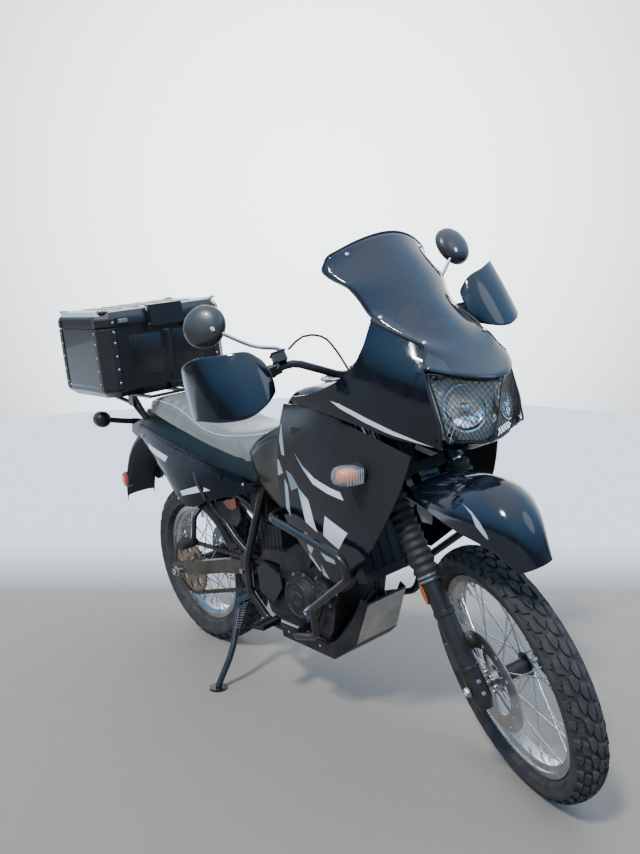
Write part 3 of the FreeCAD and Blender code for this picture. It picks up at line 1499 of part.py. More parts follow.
def side_cover_rows():
    return [
        [V(-196, -132, 866), V(-60, -158, 858), V(120, -172, 826), V(320, -176, 800), V(516, -166, 774)],
        [V(-206, -134, 836), V(-40, -166, 800), V(150, -182, 752), V(360, -186, 736), V(606, -168, 744)],
        [V(-150, -136, 812), V(-20, -164, 742), V(154, -180, 672), V(330, -184, 676), V(560, -166, 726)],
        [V(-110, -136, 796), V(10, -160, 700), V(156, -174, 612), V(300, -178, 652), V(520, -164, 716)],
    ]


def build_side_covers(subframe):
    """Covers between the seat and the pivot, held by pegs against the seat rails."""
    right = panel([row[::-1] for row in side_cover_rows()], size("panel_wall"))
    pegs = [rod(V(420, -182, 761), V(420, -122, 761), 7), rod(V(200, -176, 806), V(200, -122, 806), 6)]
    clear = [tube(p, size("rail_radius") + 0.3, 80) for p in (rail_points(), flip(rail_points()))]
    right = join([right] + pegs).cut(subframe).cut(Part.makeCompound(clear))
    right = max(right.Solids, key=lambda s: s.Volume)
    shape_node("side_covers", both_sides(right))


def build_rear_fender(subframe):
    """The tail's fender, hung from the rails' cross tube, with the lamp that sits on it."""
    rows = []
    for x, z, half in ((-96, 850, 92), (-220, 846, 88), (-330, 806, 82), (-430, 720, 76), (-500, 600, 70), (-520, 520, 66)):
        rows.append([V(x, -half, z - 26), V(x, -half * 0.9, z - 4), V(x, 0, z), V(x, half * 0.9, z - 4), V(x, half, z - 26)])
    skin = panel(rows, size("fender_wall"))
    hanger = block(V(-206, -40, 842), V(-174, 40, 872))
    fender = join([skin, hanger]).cut(subframe)
    fender = max(fender.Solids, key=lambda s: s.Volume)
    shape_node("rear_fender", fender)
    outline = [V(-300, -52, 810), V(-300, -52, 872), V(-404, -52, 866), V(-420, -52, 806), V(-352, -52, 774)]
    lamp = prism(outline, V(0, 104, 0)).cut(panel(rows, 40))
    lamp = max(lamp.Solids, key=lambda s: s.Volume)
    shape_node("tail_lamp", lamp)
    return lamp


def build_signals(shrouds, lamp):
    """Round-nosed signal pods: the front pair on the shrouds, the rear pair on arms from the tail."""
    profile = []
    for k in range(9):
        angle = math.pi * k / 8
        profile.append((-45 * math.cos(angle), 31 * math.sin(angle)))
    pod = Part.Face(Part.makePolygon([V(0, y, r) for y, r in profile] + [V(0, profile[0][0], 0)]))
    pod = pod.revolve(V(), V(0, 1, 0), 360)
    shapes = []
    for side in (1, -1):
        front = placed(pod, V(1168, side * 262, 896), FreeCAD.Rotation())
        stem = rod(V(1168, side * 190, 896), V(1168, side * 232, 896), 9)
        shapes.append(join([front, stem]).cut(shrouds))
        rear = Part.makeCylinder(27, 44, V(-440, side * 176, 884), V(1, 0, 0))
        arm = rod(V(-390, side * 40, 850), V(-420, side * 170, 880), 8)
        shapes.append(join([rear, arm]).cut(lamp))
    solids = [max(shape.Solids, key=lambda s: s.Volume) for shape in shapes]
    shape_node("turn_signals", Part.makeCompound(solids))


# Luggage
def case_outline(low_shrink, z):
    """The case's plan outline with cut corners, at one height."""
    front = size("case_front") - low_shrink
    back = size("case_front") - size("case_length") + low_shrink
    half = size("case_width") / 2 - low_shrink
    corner = size("case_corner")
    return [
        V(front, -half + corner, z), V(front, half - corner, z), V(front - corner, half, z), V(back + corner, half, z),
        V(back, half - corner, z), V(back, -half + corner, z), V(back + corner, -half, z), V(front - corner, -half, z),
    ]


def case_solid(shrink, low, high, base_cut):
    wires = []
    if base_cut:
        wires.append(Part.makePolygon(close(case_outline(shrink + size("case_bottom_corner"), low))))
        wires.append(Part.makePolygon(close(case_outline(shrink, low + size("case_bottom_corner")))))
    else:
        wires.append(Part.makePolygon(close(case_outline(shrink, low))))
    wires.append(Part.makePolygon(close(case_outline(shrink, high))))
    return Part.makeLoft(wires, True, True)


def close(points):
    return points + points[:1]


def split_level():
    return size("case_floor") + size("case_height") - size("lid_height")


def hinge_axis():
    return V(size("case_front") + size("hinge_forward"), 0, split_level() - size("hinge_drop"))


def build_case():
    low = size("case_floor")
    split = split_level()
    top = low + size("case_height")
    wall = size("case_wall")
    outer = case_solid(0, low, split, True)
    inner = case_solid(wall, low + wall, split + 1, True)
    axis = hinge_axis()
    half = size("hinge_width") / 2
    ears = []
    for side in (1, -1):
        at = side * (half + 8)
        ear = block(V(size("case_front") - wall, at - 5, axis.z - 22), V(axis.x, at + 5, axis.z + 5))
        ears.append(ear)
        ears.append(Part.makeCylinder(8, 10, V(axis.x, at - 5, axis.z), V(0, 1, 0)))
    pin = Part.makeCylinder(size("hinge_pin_radius"), 2 * half + 26, V(axis.x, -half - 13, axis.z), V(0, 1, 0))
    base = join([outer.cut(inner)] + ears + [pin])
    lid_room = case_solid(-2, split, split + 40, False)
    shape_node("case_base", base.cut(lid_room))
    lid_low = split + size("lid_gap")
    lid_mid = top - 26
    wires = [
        Part.makePolygon(close(case_outline(0, lid_low))),
        Part.makePolygon(close(case_outline(0, lid_mid))),
        Part.makePolygon(close(case_outline(14, top))),
    ]
    room = [
        Part.makePolygon(close(case_outline(wall, lid_low - 1))),
        Part.makePolygon(close(case_outline(wall, lid_mid - 1))),
        Part.makePolygon(close(case_outline(14 + wall, top - wall))),
    ]
    skin = Part.makeLoft(wires, True, True).cut(Part.makeLoft(room, True, True))
    reach = size("hinge_reach")
    cover = prism([
        V(axis.x - 10, -half, axis.z - 6), V(axis.x - 10, -half, lid_low + 2), V(size("case_front") - 1, -half, lid_low + 2),
        V(size("case_front") - 16, -half, top - 3), V(size("case_front") - 16, -half, top + 6),
        V(axis.x + 6, -half, top + 6), V(axis.x + 10, -half, axis.z - 6),
    ], V(0, 2 * half, 0))
    block_in = Part.makeLoft(room, True, True)
    bore = Part.makeCylinder(size("hinge_pin_radius") + size("running_fit"), 400, V(axis.x, -200, axis.z), V(0, 1, 0))
    lid = join([skin, cover.cut(block_in)]).cut(bore)
    shape_node("case_lid", lid)


def build_rack():
    """A flat rack plate on struts from the seat rails."""
    top = size("case_floor") - size("rack_gap")
    low = top - size("rack_height")
    plate = block(V(-452, -150, low), V(-40, 150, top))
    windows = []
    for x in (-430, -296, -162):
        for y in (-132, 10):
            windows.append(block(V(x, y, low - 1), V(x + 104, y + 122, top + 1)))
    plate = plate.cut(Part.makeCompound(windows))
    struts = []
    for side in (1, -1):
        struts.append(rod(V(-150, side * 106, 878), V(-176, side * 142, low - 2), 8))
        struts.append(rod(V(-196, side * 140, 960), V(-420, side * 142, low - 2), 8))
        struts.append(rod(V(-160, side * 112, 888), V(-205, side * 140, 962), 8))
    feet = []
    for side in (1, -1):
        feet.append(block(V(-216, side * 142 - 8, low - 40), V(-180, side * 142 + 8, low + 1)))
    rails = [tube(p, size("rail_radius") + 0.3, 80) for p in (rail_points(), flip(rail_points()))]
    shape_node("luggage_rack", join([plate] + struts + feet).cut(Part.makeCompound(rails)))


# Guards, plates, pegs and stand
def build_crash_bars():
    route = [
        V(752, -90, 700),
        V(762, -246, 706),
        V(1108, -262, 652),
        V(1122, -254, 596),
        V(930, -242, 452),
        V(904, -216, 344),
        V(782, -206, 306),
        V(712, -size("engine_half_width") + 20, 288),
    ]
    side = size("engine_half_width") + 0.3
    bar = tube(route, size("crash_bar_radius"), 46).cut(block(V(600, -side, 200), V(900, side, 400)))
    loops = []
    for sign in (1, -1):
        one = bar if sign > 0 else bar.mirror(V(), V(0, 1, 0))
        loops.append(one)
    shape_node("crash_bars", Part.makeCompound(loops))


def build_skid_plate():
    """A folded plate under the engine: floor, upturned front and two flanks that meet it."""
    wall = size("skid_wall")
    wide = size("skid_half_width")
    slim = size("skid_front_half")
    low = size("cradle_low") - size("cradle_radius") - 0.3
    rows = []
    for x, z, half, flank in ((600, low, wide, 34), (862, low, wide, 46), (926, 272, slim, 44), (992, 428, slim - 8, 8)):
        back = 0 if x < 900 else 22
        rows.append([
            V(x - back, -half, z + flank),
            V(x, -half, z),
            V(x, half, z),
            V(x - back, half, z + flank),
        ])
    shape_node("skid_plate", sheet_of(rows, -wall))


def build_side_stand():
    pivot = stand_pivot()
    foot = stand_foot()
    axis = stand_axis()
    eye_wall = size("stand_eye_wall")
    eye = Part.makeCylinder(size("stand_eye_radius"), eye_wall, pivot.sub(V(axis).multiply(eye_wall / 2)), axis)
    up = CHASSIS.Rotation.inverted().multVec(V(0, 0, 1))
    ankle = foot.add(V(up).multiply(size("stand_foot_wall") - 1))
    knee = V(436, -228, 152)
    down = knee.sub(pivot).normalize()
    neck = flat_bar(pivot, pivot.add(V(down).multiply(44)), axis, eye_wall, 22)
    leg = tube([pivot.add(V(down).multiply(30)), knee, ankle], size("stand_radius"), 160)
    pad = Part.makeCylinder(size("stand_foot_radius"), size("stand_foot_wall"), foot, up)
    pin = Part.makeCylinder(size("stand_pin_radius") + size("running_fit"), 60, pivot.sub(V(axis).multiply(30)), axis)
    shape = join([eye, neck, leg, pad]).cut(pin)
    under = Part.makeCylinder(80, 60, foot.sub(V(up).multiply(60)), up)
    shape_node("side_stand", shape.cut(under))


def build_pegs(frame, subframe):
    shapes = []
    for side in (1, -1):
        bracket = rod(V(520, side * 104, 240), V(640, side * 182, 306), 10)
        peg = flat_bar(V(632, side * 170, 306), V(660, side * 262, 318), V(0, 0, 1), 14, 46)
        shapes.append(join([bracket, peg]).cut(frame))
        hanger = tube([V(236, side * 118, 656), V(234, side * 190, 590), V(226, side * 200, 506)], 9, 30)
        rear_peg = rod(V(226, side * 190, 496), V(236, side * 262, 504), 14)
        shapes.append(join([hanger, rear_peg]).cut(subframe))
    shape_node("foot_pegs", Part.makeCompound(shapes))


def build_foot_levers(frame):
    shift = tube([V(838, -size("engine_half_width") - size("cover_depth") + 7.8, 412), V(838, -160, 411), V(800, -176, 382), V(868, -206, 386)], 6, 8)
    brake = tube([V(560, 104, 236), V(590, 142, 254), V(716, 158, 262), V(748, 194, 262)], 7, 20)
    shape_node("foot_levers", Part.makeCompound([shift, brake.cut(frame)]))


def build_rear_caliper(swingarm):
    side = size("rear_disc_side")
    at = V(84, 0, 414)
    shapes = [
        block(V(at.x - 34, side + 5, at.z - 26), V(at.x + 34, side + 30, at.z + 30)),
        block(V(at.x - 34, side - 26, at.z - 26), V(at.x + 34, side - 5, at.z + 30)),
        block(V(at.x + 20, side - 26, at.z + 20), V(at.x + 34, side + 30, at.z + 30)),
    ]
    disc_room = Part.makeCylinder(
        size("rear_disc_radius") + 5, size("disc_thickness") + 10.4,
        V(0, side - size("disc_thickness") / 2 - 5.2, size("rear_tyre_radius")), V(0, 1, 0)
    )
    bracket = block(V(62, 100, 340), V(106, 138, 394))
    caliper = join(shapes + [bracket]).cut(disc_room).cut(swingarm)
    shape_node("rear_caliper", max(caliper.Solids, key=lambda s: s.Volume))


def build_chassis():
    frame = build_frame()
    subframe = build_subframe(frame)
    swingarm = build_swingarm()
    build_shock()
    build_engine()
    gear = build_chain()
    shape_node("engine_sprocket", gear)
    build_exhaust()
    build_radiator(frame)
    build_tank(frame)
    shrouds = build_shrouds()
    cowl = build_cowl()
    build_screen(cowl)
    build_headlight(cowl)
    build_seat()
    build_side_covers(subframe)
    lamp = build_rear_fender(subframe)
    build_signals(shrouds, lamp)
    build_case()
    build_rack()
    build_crash_bars()
    build_skid_plate()
    build_side_stand()
    build_pegs(frame, subframe)
    build_foot_levers(frame)
    build_rear_caliper(swingarm)


def check_and_write():
    """Stop on any failed feature or bad shape, then write one file per sub-part."""
    doc.recompute()
    for item in doc.Objects:
        if "Invalid" in item.State or "Error" in item.State:
            raise RuntimeError(f"{item.Label} failed: {item.State}")
    for item in nodes:
        if item.Shape.isNull() or not item.Shape.isValid() or not item.Shape.Solids:
            raise RuntimeError(f"{item.Label} has a bad shape")
    os.makedirs("parts", exist_ok=True)
    for item in nodes:
        item.Shape.exportStep(f"parts/{item.Label}.step")


build_wheels()
build_fork()
build_chassis()
check_and_write()
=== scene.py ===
"""Adventure motorcycle on its side stand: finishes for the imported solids, and the parts that only the eye needs.

Pieces are built upright in millimetres in one of the machine's own frames, and then set into the row's frame.
"""
import json
import math

import bmesh
import bpy
from mathutils import Matrix, Vector
from mathutils.bvhtree import BVHTree


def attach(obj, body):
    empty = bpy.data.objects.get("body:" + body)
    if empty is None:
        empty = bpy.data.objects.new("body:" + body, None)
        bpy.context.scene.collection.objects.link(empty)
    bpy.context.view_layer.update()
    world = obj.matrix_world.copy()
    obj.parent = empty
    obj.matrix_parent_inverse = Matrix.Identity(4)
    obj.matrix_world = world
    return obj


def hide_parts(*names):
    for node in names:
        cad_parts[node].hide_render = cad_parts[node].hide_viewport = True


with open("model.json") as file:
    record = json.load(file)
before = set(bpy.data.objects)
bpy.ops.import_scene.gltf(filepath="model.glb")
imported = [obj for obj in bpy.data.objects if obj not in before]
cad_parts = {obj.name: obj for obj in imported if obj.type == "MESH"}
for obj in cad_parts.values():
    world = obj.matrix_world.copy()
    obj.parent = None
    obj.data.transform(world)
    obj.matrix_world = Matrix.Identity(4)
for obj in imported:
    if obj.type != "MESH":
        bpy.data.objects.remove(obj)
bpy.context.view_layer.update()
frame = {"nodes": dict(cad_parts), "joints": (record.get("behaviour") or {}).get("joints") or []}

# The machine's own frames, from its joints
MM = 0.001
RAKE = math.radians(28)
FORK_OFFSET = 65
FRONT_LEVEL = 360.7
STEER_LEVEL = 1050
REAR_RADIUS = 320
joints = {j["name"]: j for j in frame["joints"]}


def frame_of(x, y, z, origin):
    """A frame's matrix, from millimetres to the row's metres."""
    turn = Matrix((x, y, z)).transposed().to_4x4()
    return Matrix.Translation(origin) @ turn @ Matrix.Scale(MM, 4)


def own_frames():
    across = Vector(joints["rear_wheel_spin"]["axis"]).normalized()
    steer = Vector(joints["steering"]["axis"]).normalized()
    ahead = across.cross(steer).normalized()
    x = ahead * math.cos(RAKE) - steer * math.sin(RAKE)
    z = ahead * math.sin(RAKE) + steer * math.cos(RAKE)
    bike = frame_of(x, across, z, Vector(joints["rear_wheel_spin"]["pos_m"]) - z * REAR_RADIUS * MM)
    y = Vector(joints["front_wheel_spin"]["axis"]).normalized()
    foot = Vector(joints["steering"]["pos_m"]) - steer * STEER_LEVEL * MM
    return bike, frame_of(y.cross(steer), y, steer, foot)


BIKE, FORK = own_frames()
FRONT_WHEEL = FORK @ Matrix.Translation((FORK_OFFSET, 0, FRONT_LEVEL))
REAR_WHEEL = BIKE @ Matrix.Translation((0, 0, REAR_RADIUS))


# Mesh building
def circle(radius, steps):
    turns = [2 * math.pi * k / steps for k in range(steps)]
    return [(radius * math.cos(angle), radius * math.sin(angle)) for angle in turns]


def sided(points, sign):
    """Points given for the machine's left, on the left for sign 1 and on the right for -1."""
    return [(x, sign * y, z) for x, y, z in points]


def rectangle(x0, x1, y0, y1, z):
    return [(x0, y0, z), (x1, y0, z), (x1, y1, z), (x0, y1, z)]


def stand_on(at, way):
    """A turn that stands local z along a direction, at a point."""
    return Matrix.Translation(Vector(at)) @ Vector(way).to_track_quat("Z", "Y").to_matrix().to_4x4()


class Shape:
    """Points and faces collected for one piece."""

    def __init__(self):
        self.points = []
        self.faces = []

    def add(self, points, faces, turn=None):
        base = len(self.points)
        self.points += [turn @ Vector(p) if turn else Vector(p) for p in points]
        self.faces += [tuple(base + i for i in face) for face in faces]
        return self

    def rings(self, rings, turn=None, loop=False, caps=True, open_ring=False):
        """Skin between rings of points of one length."""
        count = len(rings[0])
        points = [p for ring in rings for p in ring]
        faces = []
        last = len(rings) if loop else len(rings) - 1
        for i in range(last):
            j = (i + 1) % len(rings)
            for k in range(count - 1 if open_ring else count):
                m = (k + 1) % count
                faces.append((i * count + k, i * count + m, j * count + m, j * count + k))
        if caps and not loop and not open_ring:
            faces.append(tuple(range(count))[::-1])
            faces.append(tuple((len(rings) - 1) * count + k for k in range(count)))
        return self.add(points, faces, turn)

    def lathe(self, profile, turn, steps, loop=False, caps=True):
        """A profile of (radius, height) turned about local z."""
        rings = [[(x, y, h) for x, y in circle(max(r, 0.01), steps)] for r, h in profile]
        return self.rings(rings, turn, loop, caps)

    def prism(self, outline, wall, turn):
        """A flat outline in local x and y, wall thick along z."""
        return self.rings([[(x, y, 0) for x, y in outline], [(x, y, wall) for x, y in outline]], turn)

    def box(self, low, high, turn=None):
        outline = [(low[0], low[1]), (high[0], low[1]), (high[0], high[1]), (low[0], high[1])]
        lift = Matrix.Translation((0, 0, low[2]))
        return self.prism(outline, high[2] - low[2], turn @ lift if turn else lift)

    def tube(self, route, radius, sides):
        """A round bar along a smooth route."""
        line = smooth(route, 6) if len(route) > 2 else [Vector(p) for p in route]
        rings = []
        side = None
        for i, at in enumerate(line):
            way = (line[min(i + 1, len(line) - 1)] - line[max(i - 1, 0)]).normalized()
            if side is None:
                side = way.orthogonal().normalized()
            side = (side - way * side.dot(way)).normalized()
            up = way.cross(side)
            rings.append([at + side * x + up * y for x, y in circle(radius, sides)])
        return self.rings(rings)

    def bolt(self, at, way, radius, height):
        """A washer, a hexagon head and a dimple."""
        turn = stand_on(at, way)
        self.lathe([(1.5 * radius, -0.6), (1.5 * radius, 0.7), (1.05 * radius, 1.0)], turn, 14)
        head = [(1.0, 0.8), (1.0, height - 0.8), (0.86, height), (0.45, height), (0.4, height - 1.2)]
        return self.lathe([(share * radius, z) for share, z in head], turn, 6)

    def stud(self, at, way, radius, height=2.4):
        """A round rivet or button head."""
        dome = [(0.8 * radius, 0.75 * height), (0.4 * radius, height), (0.05, height)]
        return self.lathe([(radius, -0.5), (radius, 0.3 * height)] + dome, stand_on(at, way), 12)

    def wire(self, route, axis, radius, sides):
        """A round wire wound about an axis."""
        rings = []
        for i, at in enumerate(route):
            ahead = (route[min(i + 1, len(route) - 1)] - route[max(i - 1, 0)]).normalized()
            side = ahead.cross(axis).normalized() if abs(ahead.dot(axis)) < 0.99 else axis.orthogonal().normalized()
            rings.append([at + side * x + side.cross(ahead) * y for x, y in circle(radius, sides)])
        return self.rings(rings)

    def mirrored(self):
        """The same again on the machine's other side."""
        return self.add(sided(self.points, -1), [face[::-1] for face in self.faces])


def smooth(points, steps):
    """Points of a curve through a row of points."""
    line = [Vector(p) for p in points]
    line = [line[0] * 2 - line[1]] + line + [line[-1] * 2 - line[-2]]
    result = []
    for a, b, c, d in zip(line, line[1:], line[2:], line[3:]):
        for k in range(steps):
            t = k / steps
            bend = (2 * a - 5 * b + 4 * c - d) * t * t + (3 * b - 3 * c + d - a) * t ** 3
            result.append(0.5 * (2 * b + (c - a) * t + bend))
    return result + [line[-2]]


def piece(name, shape, place, body, slot, bevel=0.0, angle=38, levels=0, wall=0.0):
    """A finished piece that rides on a body, with its finish and soft edges."""
    mesh = bpy.data.meshes.new(name)
    mesh.from_pydata([place @ p for p in shape.points], [], shape.faces)
    work = bmesh.new()
    work.from_mesh(mesh)
    bmesh.ops.recalc_face_normals(work, faces=work.faces)
    work.to_mesh(mesh)
    work.free()
    return dress(bpy.data.objects.new(name, mesh), body, slot, bevel, angle, levels, wall)


def dress(item, body, slot, bevel=0.0, angle=38, levels=0, wall=0.0):
    bpy.context.scene.collection.objects.link(item)
    item.data.materials.clear()
    item.data.materials.append(FINISH[slot])
    item.data.shade_smooth()
    item.data.set_sharp_from_angle(angle=math.radians(angle))
    if wall:
        thick = item.modifiers.new("wall", "SOLIDIFY")
        thick.thickness = wall * MM
        thick.offset = 0
    if bevel:
        edge = item.modifiers.new("edge", "BEVEL")
        edge.width = bevel * MM
        edge.segments = 2
        edge.limit_method = "ANGLE"
        edge.angle_limit = math.radians(angle)
    if levels:
        fine = item.modifiers.new("fine", "SUBSURF")
        fine.levels = fine.render_levels = levels
    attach(item, body)
    return item


# Finishes
FINISH = {}
# Matt black for the matte zones: partly the part's real matt black, partly painted shade.
MATT_BLACK_SHADE = (0.004, 0.004, 0.004)


def maths(tree, operation, one, two, kind="ShaderNodeMath"):
    """One operation on a socket and a number, a vector, another socket or nothing."""
    made = tree.nodes.new(kind)
    made.operation = operation
    tree.links.new(one, made.inputs[0])
    if isinstance(two, bpy.types.NodeSocket):
        tree.links.new(two, made.inputs[1])
    elif two is not None:
        made.inputs[1].default_value = two
    return made.outputs["Vector" if operation == "ABSOLUTE" else "Value"]


def along(tree, where, way):
    """How far a position or direction goes along a fixed way."""
    return maths(tree, "DOT_PRODUCT", where, way, "ShaderNodeVectorMath")


def noise(tree, where, scale, detail=4.0, rough=0.55):
    made = tree.nodes.new("ShaderNodeTexNoise")
    made.inputs["Scale"].default_value = scale
    made.inputs["Detail"].default_value = detail
    made.inputs["Roughness"].default_value = rough
    tree.links.new(where, made.inputs["Vector"])
    return made.outputs["Fac"]


def spread(tree, value, low, high, to_low, to_high):
    made = tree.nodes.new("ShaderNodeMapRange")
    for key, number in (("From Min", low), ("From Max", high), ("To Min", to_low), ("To Max", to_high)):
        made.inputs[key].default_value = number
    tree.links.new(value, made.inputs["Value"])
    return made.outputs["Result"]


def blend(tree, share, one, two):
    """Colour one turning to colour two where share is 1."""
    made = tree.nodes.new("ShaderNodeMix")
    made.data_type = "RGBA"
    tree.links.new(share, made.inputs["Factor"])
    for key, value in ((6, one), (7, two)):
        if isinstance(value, tuple):
            made.inputs[key].default_value = (*value, 1.0)
        else:
            tree.links.new(value, made.inputs[key])
    return made.outputs[2]


def placed_coordinates(tree, place):
    """Coordinates in millimetres of one of the machine's frames."""
    where = tree.nodes.new("ShaderNodeTexCoord")
    back = place.inverted()
    mapping = tree.nodes.new("ShaderNodeMapping")
    mapping.inputs["Location"].default_value = back.translation
    mapping.inputs["Rotation"].default_value = back.to_euler()
    mapping.inputs["Scale"].default_value = (1 / MM, 1 / MM, 1 / MM)
    tree.links.new(where.outputs["Object"], mapping.inputs["Vector"])
    return mapping.outputs["Vector"]


def patch(tree, where, corners, least_y):
    """1 inside a convex patch of the side view, given as corners in x and z, away from the middle plane."""
    split = tree.nodes.new("ShaderNodeSeparateXYZ")
    tree.links.new(maths(tree, "ABSOLUTE", where, None, "ShaderNodeVectorMath"), split.inputs[0])
    value = maths(tree, "SUBTRACT", split.outputs["Y"], least_y)
    middle = sum((Vector(corner) for corner in corners), Vector((0, 0))) / len(corners)
    for (x, z), (u, w) in zip(corners, corners[1:] + corners[:1]):
        inward = Vector((w - z, x - u)).normalized()
        if inward.dot(middle - Vector((x, z))) < 0:
            inward = -inward
        reach = along(tree, where, (inward.x, 0, inward.y))
        value = maths(tree, "MINIMUM", value, maths(tree, "SUBTRACT", reach, inward.x * x + inward.y * z))
    return spread(tree, value, -0.4, 0.4, 0.0, 1.0)


def finish(
    name, colour, rough, metal=0.0, coat=0.0, grain=300.0, bump=0.15, depth=0.0004, vary=0.25, stretch=None, dust=0.0,
    dust_colour=(0.23, 0.19, 0.15), cells=0.0, alpha=1.0, patches=(), matte=(), patch_place=None, record=None, sheen=0.5
):
    """A surface with its own colour variation, roughness and relief, all from the object's coordinates.

    grain is the relief's noise scale, and cells, where given, the scale of a crackle in its place. patches are stripes
    of another colour, and matte is where gloss stops and the colour turns matt black, partly a real matt black and
    partly painted shade, as corners in x and z with a least distance from the middle plane.
    """
    made = bpy.data.materials.new(name)
    made.use_nodes = True
    tree = made.node_tree
    shader = tree.nodes["Principled BSDF"]
    where = tree.nodes.new("ShaderNodeTexCoord").outputs["Object"]
    stretched = where
    if stretch:
        mapping = tree.nodes.new("ShaderNodeMapping")
        mapping.inputs["Scale"].default_value = stretch
        tree.links.new(where, mapping.inputs["Vector"])
        stretched = mapping.outputs["Vector"]
    broad = noise(tree, where, 9.0)
    fine = noise(tree, stretched, grain, 6.0)
    dark = tuple(c * (1 - vary) for c in colour)
    light = tuple(min(1.0, c * (1 + vary)) for c in colour)
    paint = blend(tree, spread(tree, broad, 0.3, 0.7, 0.0, 1.0), dark, light)
    for corners, shade, least_y in patches:
        mask = patch(tree, placed_coordinates(tree, patch_place), corners, least_y)
        paint = blend(tree, mask, paint, shade)
    matte_shade_mask = None
    # Matte zones turn matt black and rough: partly real, partly painted shade.
    for corners, least_y in matte:
        mask = patch(tree, placed_coordinates(tree, patch_place), corners, least_y)
        paint = blend(tree, mask, paint, MATT_BLACK_SHADE)
        matte_shade_mask = mask if matte_shade_mask is None else maths(tree, "MAXIMUM", matte_shade_mask, mask)
    if dust:
        cover = spread(tree, noise(tree, where, 26.0, 8.0, 0.65), 0.42, 0.72, 0.0, dust)
        paint = blend(tree, cover, paint, dust_colour)
    tree.links.new(paint, shader.inputs["Base Color"])
    gloss = spread(tree, fine, 0.3, 0.7, max(rough - 0.07, 0.02), min(rough + 0.09, 1))
    if matte_shade_mask is not None:
        gloss = spread(tree, matte_shade_mask, 0.0, 1.0, rough, 0.7)
    tree.links.new(gloss, shader.inputs["Roughness"])
    shader.inputs["Specular IOR Level"].default_value = sheen
    shader.inputs["Metallic"].default_value = metal
    shader.inputs["Coat Weight"].default_value = coat
    shader.inputs["Coat Roughness"].default_value = 0.04
    shader.inputs["Alpha"].default_value = alpha
    relief = tree.nodes.new("ShaderNodeBump")
    relief.inputs["Strength"].default_value = bump
    relief.inputs["Distance"].default_value = depth
    height = fine
    if cells:
        crackle = tree.nodes.new("ShaderNodeTexVoronoi")
        crackle.inputs["Scale"].default_value = cells
        tree.links.new(where, crackle.inputs["Vector"])
        height = crackle.outputs["Distance"]
    tree.links.new(height, relief.inputs["Height"])
    tree.links.new(relief.outputs["Normal"], shader.inputs["Normal"])
    FINISH[name] = made
    return made


# Colours, and least distances from the middle plane in millimetres
WHITE = (0.78, 0.79, 0.80)
SILVER = (0.42, 0.44, 0.46)
ANYWHERE = -1
OUTSIDE = 100
GLOSS = dict(
    colour=(0.003, 0.006, 0.012), rough=0.09, grain=40, bump=0.02, depth=0.001, vary=0.4, sheen=0.6,
    record="gloss_black"
)
COVER = dict(GLOSS, rough=0.16, sheen=0.12)


def stripes(colour, *outlines):
    """Patches of one colour on the machine's outer panels."""
    return [(corners, colour, OUTSIDE) for corners in outlines]


finish("tyre_rubber", (0.022, 0.022, 0.023), 0.82, grain=700, bump=0.35, dust=0.55, dust_colour=(0.085, 0.075, 0.065))
finish("rim_metal", (0.50, 0.50, 0.51), 0.28, metal=1.0, grain=160, bump=0.06, dust=0.25)
finish("spoke_metal", (0.62, 0.62, 0.63), 0.22, metal=1.0, grain=500, bump=0.05)
finish(
    "black_metal", (0.010, 0.010, 0.011), 0.42, coat=0.08, grain=900, bump=0.2, dust=0.3,
    dust_colour=(0.06, 0.052, 0.045)
)
finish(
    "satin_black_metal", (0.008, 0.008, 0.009), 0.3, coat=0.2, grain=1200, bump=0.1, dust=0.15,
    dust_colour=(0.05, 0.045, 0.04)
)
finish("steel", (0.45, 0.45, 0.46), 0.32, metal=1.0, grain=400, bump=0.12, dust=0.25, dust_colour=(0.2, 0.17, 0.14))
finish(
    "dark_steel", (0.09, 0.085, 0.08), 0.42, metal=0.9, grain=500, bump=0.2, dust=0.5, dust_colour=(0.16, 0.12, 0.09)
)
finish("fork_chrome", (0.75, 0.75, 0.76), 0.08, metal=1.0, grain=60, bump=0.02)
finish("black_rubber", (0.016, 0.016, 0.017), 0.62, grain=900, bump=0.3, dust=0.2, dust_colour=(0.06, 0.055, 0.05))
finish("black_plastic", (0.014, 0.014, 0.015), 0.42, grain=1500, bump=0.4, depth=0.0002)
finish("gloss_black", **GLOSS)
finish(
    "engine_metal", (0.035, 0.034, 0.034), 0.5, metal=0.55, grain=1100, bump=0.5, dust=0.5,
    dust_colour=(0.10, 0.085, 0.07)
)
finish("bare_aluminium", (0.50, 0.47, 0.44), 0.34, metal=1.0, grain=260, stretch=(1, 1, 14), bump=0.1, dust=0.3)
finish("seat_vinyl", (0.170, 0.178, 0.165), 0.40, coat=0.15, cells=900, bump=0.28, depth=0.0005, vary=0.12)
finish("smoke_screen", (0.004, 0.008, 0.020), 0.05, coat=0.3, grain=20, bump=0.01, alpha=0.95)
finish("mirror_shell", (0.030, 0.028, 0.025), 0.32, coat=0.2, grain=900, bump=0.05)
finish("lamp_lens", (0.46, 0.47, 0.42), 0.14, coat=1.0, cells=90, bump=0.9, depth=0.003, vary=0.35)
finish("red_lens", (0.42, 0.012, 0.012), 0.12, coat=1.0, cells=260, bump=0.5, depth=0.001)
finish(
    "tail_housing", (0.42, 0.012, 0.012), 0.2, coat=0.4, cells=260, bump=0.3, depth=0.001, record="red_lens",
    patch_place=BIKE, patches=[([(-250, 900), (-398, 900), (-398, 740), (-250, 740)], (0.008, 0.008, 0.009), ANYWHERE)]
)
finish("clear_lens", (0.85, 0.87, 0.88), 0.04, coat=1.0, cells=180, bump=0.3, depth=0.001, alpha=0.2)
finish("orange_lens", (0.85, 0.15, 0.010), 0.15, coat=0.6, cells=300, bump=0.4, depth=0.001, record="clear_lens")
finish("mirror_glass", (0.80, 0.82, 0.84), 0.02, metal=1.0, grain=10, bump=0.005, record="mirror_shell")
